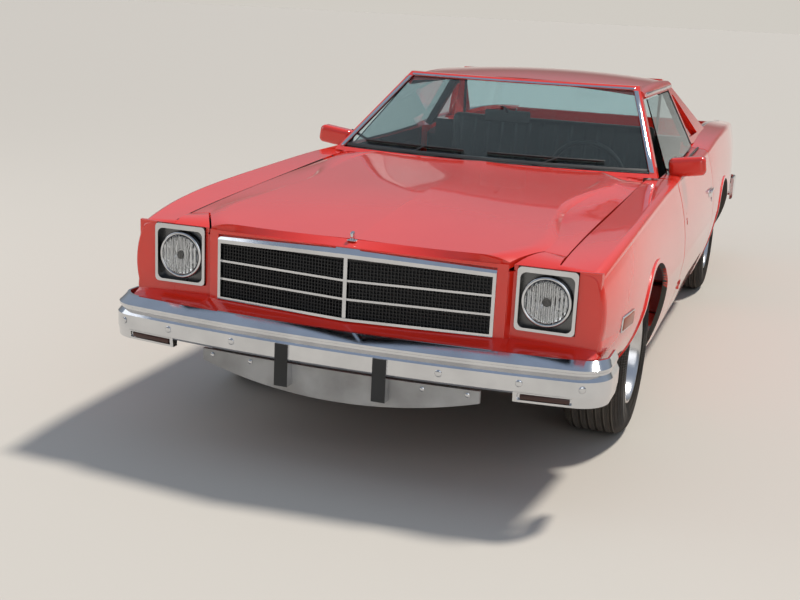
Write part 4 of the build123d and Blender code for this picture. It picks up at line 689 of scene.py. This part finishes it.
# columns: material, scale of its ribs, how uneven they are, their depth
for material, scale, uneven, depth in ((lamp_glass, 26.0, 0.0, 0.0011), (mirror_bowl, 21.0, 0.6, 0.006)):
    tree = material.node_tree
    ribs = tree.nodes.new("ShaderNodeGroup")
    ribs.node_tree = fluting
    preset(ribs, "Scale", scale)
    preset(ribs, "Distortion", uneven)
    bump = tree.nodes.new("ShaderNodeBump")
    preset(bump, "Distance", depth)
    link(tree, ribs, "Ribs", bump, "Height")
    tree.links.new(bump.outputs["Normal"], tree.nodes["Principled BSDF"].inputs["Normal"])
# The chrome of each bezel turns to a dark metal on the walls of its opening and deep in its recess: painted
# shade round the lamp.
bezel_recess_shade = finish("bezel_recess_shade", (0.16, 0.165, 0.17), (0.10, 0.10, 0.10), 0.22, 0.35, metal=1.0)
bezel_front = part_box("headlamps")[0].y
faces_in("headlamps", bezel_recess_shade, lambda c, n: c.y > bezel_front + 0.004 and abs(n.y) < 0.5 or
         c.y > bezel_front + 0.020)
lamp_x, lamp_z = 0.707, 0.720
disc_y = touch("headlamps", (lamp_x, -3.0, lamp_z), (0, 1, 0))[0].y
for hand, sign in sides:
    seat = (sign * lamp_x, disc_y, lamp_z)
    ring = turned([(0.006, 0.089), (-0.004, 0.0895), (-0.008, 0.087), (-0.0095, 0.083), (-0.0085, 0.0785),
                   (-0.004, 0.0765), (0.006, 0.0765), (0.006, 0.089)], 72, seat, (0, 1, 0), ring=True)
    chromed(ring, "lamp_ring_" + hand, angle=60)
    bowl = turned([(-0.0006, 0.0755), (-0.0078, 0.0745), (-0.0058, 0.067), (-0.0066, 0.060), (-0.0040, 0.052),
                   (-0.0050, 0.045), (-0.0022, 0.036), (-0.0030, 0.028), (-0.0012, 0.020), (-0.0008, 0.004)],
                  72, seat, (0, 1, 0))
    settled(bowl, "lamp_bowl_" + hand, "body", mirror_bowl, 60)
    shield = turned([(-0.0015, 0.016), (-0.0055, 0.015), (-0.0065, 0.011), (-0.0068, 0.003)], 40, seat,
                    (0, 1, 0))
    settled(shield, "lamp_shield_" + hand, "body", mesh_black, 60)
    glass = turned([(-0.0078, 0.0762), (-0.0100, 0.0750), (-0.0118, 0.064), (-0.0128, 0.046),
                    (-0.0133, 0.026), (-0.0135, 0.006)], 72, seat, (0, 1, 0))
    settled(glass, "lamp_lens_" + hand, "body", lamp_glass, 60)

# Bonnet mascot: a small plain chromed blade on a foot, cast in one and screwed to the nose above the
# grille.
mascot_y = -2.558
mascot_seat, _ = touch("header_panel", (0.0, mascot_y, 1.2), (0, 0, -1))
foot = block((0.034, 0.026, 0.006), mascot_seat + Vector((0, 0, 0.002)), 0.0025)
blade = block((0.013, 0.020, 0.030), mascot_seat + Vector((0, 0.001, 0.018)), 0.004, (0.25, 0, 0), 3)
chromed(joined([foot, blade]), "nose_mascot", angle=50)

# Glass: lightly tinted panes, bonded or run in rubber; a stainless moulding is clipped round the sides
# and head of the windscreen, and a black seal lies along its foot.
tinted_glass = glassy("tinted_glass", (0.66, 0.82, 0.85))
painted(tinted_glass, "windscreen", "rear_window", "quarter_windows", "door_glass_left", "door_glass_right")


def strip(points, width, height, up, round_off=0.0015):
    """A bar of even section through the points, its height along up."""
    points = [Vector(point) for point in points]
    along = (points[1] - points[0]).normalized()
    across = along.cross(Vector(up)).normalized()
    rise = across.cross(along)
    fresh()
    bpy.ops.mesh.primitive_plane_add(size=1)
    piece = bpy.context.object
    piece.scale = (width, height, 1)
    bpy.ops.object.transform_apply(location=False, rotation=False, scale=True)
    piece.matrix_world = Matrix.Translation(points[0]) @ Matrix((across, rise, -along)).transposed().to_4x4()
    bpy.ops.object.transform_apply(location=True, rotation=True, scale=False)
    bpy.ops.object.mode_set(mode="EDIT")
    bpy.ops.mesh.select_all(action="SELECT")
    for here, there in zip(points, points[1:]):
        bpy.ops.mesh.extrude_region_move(TRANSFORM_OT_translate={"value": tuple(there - here)})
    bpy.ops.mesh.select_all(action="SELECT")
    bpy.ops.mesh.normals_make_consistent(inside=False)
    bpy.ops.object.mode_set(mode="OBJECT")
    worked(piece, "BEVEL", width=round_off, segments=2, limit_method="ANGLE", angle_limit=math.radians(50))
    return piece


screen_low, screen_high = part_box("windscreen")
screen_foot_x, screen_head_x = 0.776, 0.590
screen_rise = screen_high.z - screen_low.z


def laid(node, starts, way, lift):
    """The points where lines from the starts along way meet a node, lifted off its surface."""
    points = []
    for start in starts:
        place, normal = touch(node, start, way)
        points.append(place + normal * lift)
    return points


screen_parts = []
for sign in (-1, 1):
    starts = []
    for share in (0.01, 0.25, 0.5, 0.75, 0.99):
        x = sign * (screen_foot_x + (screen_head_x - screen_foot_x) * share + 0.012)
        starts.append((x, -2.0, screen_low.z + screen_rise * share))
    rows = laid("cab_shell", starts, (0, 1, 0), 0.0015)
    screen_parts.append(strip(rows, 0.023, 0.007, (sign * 0.35, -0.7, 0.6), 0.0025))
starts = [((i / 6 - 1) * (screen_head_x + 0.006), -2.0, screen_high.z + 0.006) for i in range(13)]
screen_parts.append(strip(laid("cab_shell", starts, (0, 1, 0), 0.0015), 0.014, 0.006, (0, -0.6, 0.8), 0.002))
chromed(joined(screen_parts), "screen_moulding")

starts = [((i / 7 - 1) * (screen_foot_x - 0.01), -2.0, screen_low.z + 0.010) for i in range(15)]
seal = strip(laid("windscreen", starts, (0, 1, 0), 0.0015), 0.022, 0.005, (0, -0.6, 0.8))
settled(seal, "screen_seal", "body", black_rubber)

# Wipers: two black steel arms on bosses in the cowl, each pressing a rubber blade in a black holder onto
# the foot of the windscreen.
# columns: pivot x, x where the blade starts, x where it ends
for name, pivot_x, blade_x0, blade_x1 in (("right", -0.40, -0.66, -0.12), ("left", 0.24, 0.00, 0.56)):
    starts = [(blade_x0 + (blade_x1 - blade_x0) * i / 8, -2.0, screen_low.z + 0.034) for i in range(9)]
    blade_rows = laid("windscreen", starts, (0, 1, 0), 0.008)
    blade = strip(blade_rows, 0.008, 0.010, (0, -0.6, 0.8), 0.001)
    pivot, _ = touch("cowl_panel", (pivot_x, blade_rows[4].y - 0.035, 1.2), (0, 0, -1))
    arm = strip([pivot + Vector((0, 0, 0.012)), pivot * 0.45 + blade_rows[5] * 0.55 + Vector((0, 0, 0.010)),
                 blade_rows[5] + Vector((0, -0.002, 0.006))], 0.011, 0.005, (0, -0.6, 0.8), 0.001)
    boss = turned([(-0.002, 0.013), (0.010, 0.012), (0.017, 0.009), (0.019, 0.004)], 20, pivot, (0, 0, 1))
    settled(joined([blade, arm, boss]), "wiper_" + name, "body", black_rubber)

# Roof trim: thin bright drip mouldings clipped above the doors, and a black rubber round the rear window
# that holds its pane in the rear wall of the cab.
for hand, sign in sides:
    starts = [(sign * 1.2, y, 1.300) for y in (-0.235, 0.0, 0.24, 0.48, 0.715)]
    drip = strip(laid("cab_shell", starts, (-sign, 0, 0), 0.001), 0.011, 0.007, (sign, 0, 0.3))
    chromed(drip, "drip_moulding_" + hand)


def surround(half, low, top, y, bar, deep, round_off, longer=0.0):
    """Four bars round an upright opening, half wide to each side, the level ones a little longer."""
    bars = [block((2 * half + longer, deep, bar), (0, y, z), round_off) for z in (low, top)]
    bars += [block((bar, deep, top - low), (s * half, y, (low + top) / 2), round_off) for s in (-1, 1)]
    return joined(bars)


rear_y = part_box("rear_window")[1].y + 0.004
rear_half, rear_low, rear_top = 0.590, 1.018, 1.272
settled(surround(rear_half, rear_low, rear_top, rear_y, 0.016, 0.012, 0.004), "rear_window_rubber", "body",
        black_rubber)

# Doors: outside, a bright lift handle, a key lock and a mirror on a dark stalk; along the belt, rubber
# that wipes the pane; inside, a padded vinyl panel with an arm rest and a window winder.
cabin_black = finish("cabin_black", (0.020, 0.020, 0.021), (0.034, 0.033, 0.032), 0.45, 0.62, grain=520,
                     relief=0.0005)
seat_vinyl = finish("seat_vinyl", (0.018, 0.018, 0.020), (0.034, 0.032, 0.031), 0.36, 0.52, grain=620,
                    relief=0.0004)
mirror_glass = finish("mirror_glass", (0.85, 0.87, 0.88), (0.82, 0.84, 0.85), 0.01, 0.03, metal=1.0)
handle_y, handle_z, lock_z = 0.435, 0.742, 0.694
belt_x, belt_start, belt_end = 0.853, -0.50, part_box("door_left")[1].y - 0.012
stalk_reach, stalk_half, stalk_top = 0.03, 0.024, 0.962
for hand, sign in sides:
    door, body = "door_" + hand, "door_" + hand + "_assembly"
    side_ray = (-sign, 0, 0)
    place, normal = touch(door, (sign * 1.3, handle_y, handle_z), side_ray)
    lean = -sign * math.atan2(normal.z, sign * normal.x)
    plate = block((0.008, 0.180, 0.040), place, 0.003, (0, lean, 0))
    grip_place = place + normal * 0.009 + Vector((0, 0, 0.008))
    grip = block((0.016, 0.150, 0.016), grip_place, 0.005, (0, lean, 0), 3)
    button, lock_normal = touch(door, (sign * 1.3, handle_y + 0.055, lock_z), side_ray)
    lock = turned([(-0.001, 0.0125), (0.003, 0.0125), (0.004, 0.010), (0.0035, 0.006), (0.0035, 0.001)], 28,
                  button, lock_normal)
    chromed(joined([plate, grip, lock]), "door_handle_" + hand, body)

    rows = []
    for i in range(6):
        y = belt_start + (belt_end - belt_start) * i / 5
        place, _ = touch(door, (sign * belt_x, y, 1.2), (0, 0, -1))
        rows.append(place + Vector((0, 0, 0.004)))
    wiping = strip(rows, 0.010, 0.014, (0, 0, 1), 0.003)
    settled(wiping, "belt_rubber_" + hand, body, black_rubber)

    tilt = -sign * math.radians(8)
    pane = block((0.148, 0.004, 0.066), (sign * 0.922, -0.4925, 0.988), 0.0018, (0, tilt, 0))
    settled(pane, "mirror_pane_" + hand, body, mirror_glass)
    stalk_middle = Vector((sign * 0.897, -0.5525, 0.945))
    faces_in(door, black_rubber, lambda c, n: (c - stalk_middle).length < stalk_reach
             and abs(c.x - stalk_middle.x) < stalk_half and c.z < stalk_top and abs(n.y) > 0.05)
    faces_in(door, seat_vinyl, lambda c, n: sign * n.x < -0.8)

    panel = block((0.014, 1.16, 0.52), (sign * 0.812, -0.08, 0.63), 0.006)
    pleats = [block((0.012, 1.10, 0.026), (sign * 0.806, -0.08, 0.62 + 0.034 * i), 0.006) for i in range(6)]
    rest = block((0.060, 0.46, 0.050), (sign * 0.782, 0.05, 0.575), 0.018, steps=4)
    settled(joined([panel, rest] + pleats), "door_trim_" + hand, body, seat_vinyl, 50)
    winder_seat = Vector((sign * 0.800, -0.36, 0.50))
    winder = turned([(0, 0.024), (0.010, 0.022), (0.013, 0.014), (0.0135, 0.003)], 24, winder_seat,
                    (-sign, 0, 0))
    crank = block((0.008, 0.090, 0.016), winder_seat + Vector((-sign * 0.014, 0.036, 0)), 0.003)
    knob = turned([(0, 0.009), (0.022, 0.011), (0.027, 0.008), (0.028, 0.002)], 20,
                  winder_seat + Vector((-sign * 0.014, 0.076, 0)), (-sign, 0, 0))
    chromed(joined([winder, crank, knob]), "window_winder_" + hand, body)

# Cabin: black grained trim on a steel floor with carpet, a headlining, a padded instrument panel with two
# round dials, and a black wheel; the mirror stands on a short stem that is glued to the windscreen.
carpet = finish("carpet", (0.022, 0.021, 0.020), (0.05, 0.047, 0.043), 0.8, 0.95, grain=900, relief=0.002)
headlining = finish("headlining", (0.06, 0.058, 0.055), (0.09, 0.086, 0.08), 0.7, 0.85, grain=700,
                    relief=0.0006)
painted(carpet, "floor_pan")
painted(cabin_black, "dashboard", "steering_wheel")
faces_in("cab_shell", headlining, lambda c, n: n.z < -0.5 and c.z > 1.20 and abs(c.x) < 0.62 and c.y < 0.72)
cab_middle = Vector((0, -0.05, 1.08))
faces_in("cab_shell", cabin_black, lambda c, n: (cab_middle - c).normalized().dot(n) > 0.30 and c.y < 0.66
         and 0.30 < c.z < 1.31 and abs(c.x) < 0.83 and n.z > -0.5)
dash_face_y, dash_z = -0.477, 0.800
dials = []
bezels = []
dial_xs, vent_xs = (0.275, 0.465), (-0.62, -0.08, 0.08, 0.64)
dial_white = finish("dial_white", (0.72, 0.72, 0.70), (0.62, 0.62, 0.60), 0.4, 0.5)
for x in dial_xs:
    seat = (x, dash_face_y, dash_z)
    bezels.append(turned([(-0.03, 0.056), (0.006, 0.056), (0.009, 0.053), (0.007, 0.049), (-0.002, 0.048),
                          (-0.03, 0.048), (-0.03, 0.056)], 48, seat, (0, 1, 0), ring=True))
    dials.append(turned([(-0.012, 0.048), (-0.003, 0.048), (-0.0025, 0.012), (0.001, 0.006), (0.001, 0.001)],
                        48, seat, (0, 1, 0)))
vents = [block((0.110, 0.020, 0.034), (x, dash_face_y - 0.001, 0.842), 0.004) for x in vent_xs]
chromed(joined(bezels), "dial_bezels")
settled(joined(dials), "dial_faces", "body", cabin_black)
settled(joined(vents), "dash_vents", "body", cabin_black)
tick_radius, tick_first, tick_step, tick_count = 0.040, -130, 26, 11
needles = []
for x in dial_xs:
    for i in range(tick_count):
        angle = math.radians(tick_first + tick_step * i)
        tick_place = (x + tick_radius * math.sin(angle), dash_face_y - 0.001,
                      dash_z + tick_radius * math.cos(angle))
        needles.append(block((0.0016, 0.002, 0.007), tick_place, 0.0003, (0, angle, 0), 1))
    needles.append(block((0.0022, 0.002, 0.034), (x - 0.012, dash_face_y + 0.002, dash_z + 0.012), 0.0005,
                         (0, math.radians(-45), 0), 1))
settled(joined(needles), "dial_marks", "body", dial_white)
glovebox = block((0.36, 0.012, 0.105), (-0.40, -0.4785, 0.785), 0.005, (0.12, 0, 0))
radio = block((0.17, 0.012, 0.050), (0.0, -0.4765, 0.790), 0.003, (0.12, 0, 0))
knobs = [turned([(0, 0.011), (0.014, 0.010), (0.016, 0.007), (0.0165, 0.002)], 20, (x, -0.472, 0.790),
                (0, 1, 0)) for x in (-0.072, 0.072)]
settled(joined([glovebox, radio]), "glovebox_and_radio", "body", cabin_black)
chromed(joined(knobs), "radio_knobs")

mirror_place = Vector((-0.024, -0.420, 1.147))
mirror_shell = block((0.235, 0.022, 0.062), mirror_place, 0.009, (-0.12, 0, 0.1), 4)
mirror_stem = strip([mirror_place + Vector((0, -0.012, 0.02)), mirror_place + Vector((0, -0.050, 0.045)),
                     mirror_place + Vector((0, -0.130, 0.060))], 0.014, 0.008, (0, -0.3, 1))
settled(joined([mirror_shell, mirror_stem]), "inner_mirror", "body", cabin_black)
settled(block((0.222, 0.004, 0.052), mirror_place + Vector((0, 0.0115, 0)), 0.0015, (-0.12, 0, 0.1)),
        "inner_mirror_pane", "body", mirror_glass)

pedals = []
for x, z, wide in ((0.19, 0.50, 0.115), (0.345, 0.47, 0.055)):
    pedals.append(block((wide, 0.014, 0.062), (x, -0.585, z), 0.005, (-0.6, 0, 0)))
    pedals.append(strip([(x, -0.600, z + 0.01), (x, -0.635, z + 0.11), (x, -0.640, z + 0.20)], 0.014, 0.010,
                        (0, -1, 0)))
settled(joined(pedals), "pedals", "body", black_rubber)

# Bench seat: foam over springs in black vinyl, sewn in upright channels, the cushion and the backrest
# each one pad across the cab, on a low boxed base.
pad_length, pad_round, pad_voxel = 2 * 0.632 - 0.03, 0.035, 0.012
pad_pressure, pad_frames = 4.0, 20
channel_pitch, channel_depth, channel_half = 0.0842, 0.0085, 0.0085


def padding(size, place, turn, cap):
    """A pad that is blown up from a rounded block and may move no further than cap."""
    pad = block(size, place, pad_round, turn, 4)
    worked(pad, "REMESH", mode="VOXEL", voxel_size=pad_voxel)
    before = [point.co.copy() for point in pad.data.vertices]
    cloth = pad.modifiers.new("cloth", "CLOTH")
    cloth.settings.quality = 5
    cloth.settings.use_pressure = True
    cloth.settings.uniform_pressure_force = pad_pressure
    cloth.settings.effector_weights.gravity = 0
    cloth.point_cache.frame_end = pad_frames
    for step in range(1, pad_frames + 1):
        bpy.context.scene.frame_set(step)
    alone(pad)
    bpy.ops.object.modifier_apply(modifier="cloth")
    bpy.context.scene.frame_set(1)
    for point, start in zip(pad.data.vertices, before):
        shift = point.co - start
        if shift.length > cap:
            point.co = start + shift.normalized() * cap
    worked(pad, "SUBSURF", levels=1, render_levels=1)
    return pad


def sewn(pad, lowest, highest, axis):
    """Presses the channels into the pad between two lines on an axis, fading out at both."""
    normals = [point.normal.copy() for point in pad.data.vertices]
    for point, normal in zip(pad.data.vertices, normals):
        share = (point.co[axis] - lowest) / (highest - lowest)
        edge = max(0.0, min(1.0, min(share, 1 - share) * 8))
        away = abs((point.co.x / channel_pitch) % 1.0 - 0.5) * channel_pitch
        press = channel_depth * edge * math.exp(-(away / channel_half) ** 2)
        point.co = point.co - normal * press


cushion = padding((pad_length, 0.535, 0.100), (0, 0.290, 0.600), (0.03, 0, 0), 0.014)
sewn(cushion, 0.0, 0.46, 1)
settled(cushion, "seat_cushion", "body", seat_vinyl, 60)
backrest = padding((pad_length, 0.105, 0.410), (0, 0.530, 0.872), (-0.10, 0, 0), 0.012)
sewn(backrest, 0.69, 1.06, 2)
settled(backrest, "seat_backrest", "body", seat_vinyl, 60)
seat_boxes = [block((0.415, 0.50, 0.185), (s * 0.390, 0.300, 0.447), 0.012) for s in (-1, 1)]
settled(joined(seat_boxes), "seat_base", "body", cabin_black)
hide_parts("bench_seat")

# Load bed: bright mouldings clipped along the tops of both sides and round the outer panel of the gate,
# and a bright lever in a black recessed cup at the top of the gate.
capping_x, capping_y0, capping_y1 = 0.772, 1.40, 2.66
for hand, sign in sides:
    rows = []
    for i in range(8):
        y = capping_y0 + (capping_y1 - capping_y0) * i / 7
        place, _ = touch("body_side_" + hand, (sign * capping_x, y, 1.4), (0, 0, -1))
        rows.append(place + Vector((0, 0, 0.0005)))
    chromed(strip(rows, 0.020, 0.005, (0, 0, 1), 0.002), "bed_moulding_" + hand)
gate_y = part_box("tailgate")[1].y
gate_half, gate_low, gate_top = 0.654, 0.684, 0.888
panel_edge = surround(gate_half, gate_low, gate_top, gate_y, 0.012, 0.006, 0.0025, 0.012)
chromed(panel_edge, "gate_moulding", "gate")
cup = block((0.150, 0.004, 0.060), (0, gate_y - 0.0075, 0.842), 0.0018)
settled(cup, "gate_cup", "gate", black_rubber)
lever = block((0.130, 0.010, 0.030), (0, gate_y - 0.002, 0.852), 0.004, (0.15, 0, 0), 3)
chromed(lever, "gate_lever", "gate")

# Tail: moulded red lamps in the ends of the bumper, each with a bright frame and a clear reversing lens,
# and round-headed bolts through the chrome.
lens_red = finish("lens_red", (0.42, 0.010, 0.008), (0.34, 0.008, 0.006), 0.10, 0.18, coat=1.0, grain=110,
                  relief=0.0012)
clear_lens = finish("clear_lens", (0.70, 0.71, 0.72), (0.62, 0.63, 0.64), 0.10, 0.2, coat=1.0, grain=110,
                    relief=0.0010)
painted(lens_red, "tail_lamps")
lamp_y, lamp_low, lamp_top, lamp_x0, lamp_x1 = 2.723, 0.483, 0.553, 0.563, 0.787
for hand, sign in sides:
    middle_x, middle_z = sign * (lamp_x0 + lamp_x1) / 2, (lamp_low + lamp_top) / 2
    bars = [block((lamp_x1 - lamp_x0, 0.006, 0.005), (middle_x, lamp_y, z), 0.002)
            for z in (lamp_low, middle_z, lamp_top)]
    bars += [block((0.005, 0.006, lamp_top - lamp_low), (sign * x, lamp_y, middle_z), 0.002)
             for x in (lamp_x0, lamp_x0 + 0.056, lamp_x1)]
    chromed(joined(bars), "tail_lamp_frame_" + hand)
    reverse = block((0.048, 0.004, 0.060), (sign * (lamp_x0 + 0.029), lamp_y - 0.0005, middle_z), 0.0015)
    settled(reverse, "reversing_lens_" + hand, "body", clear_lens)
bolted("rear_bumper_bolts", "rear_bumper", (-0.87, -0.42, -0.16, 0.16, 0.42, 0.87), 3.2, 0.508,
       [(-0.005, 0.0125), (-0.003, 0.0125), (-0.0015, 0.010), (-0.0006, 0.006), (-0.0002, 0.002)], 24)
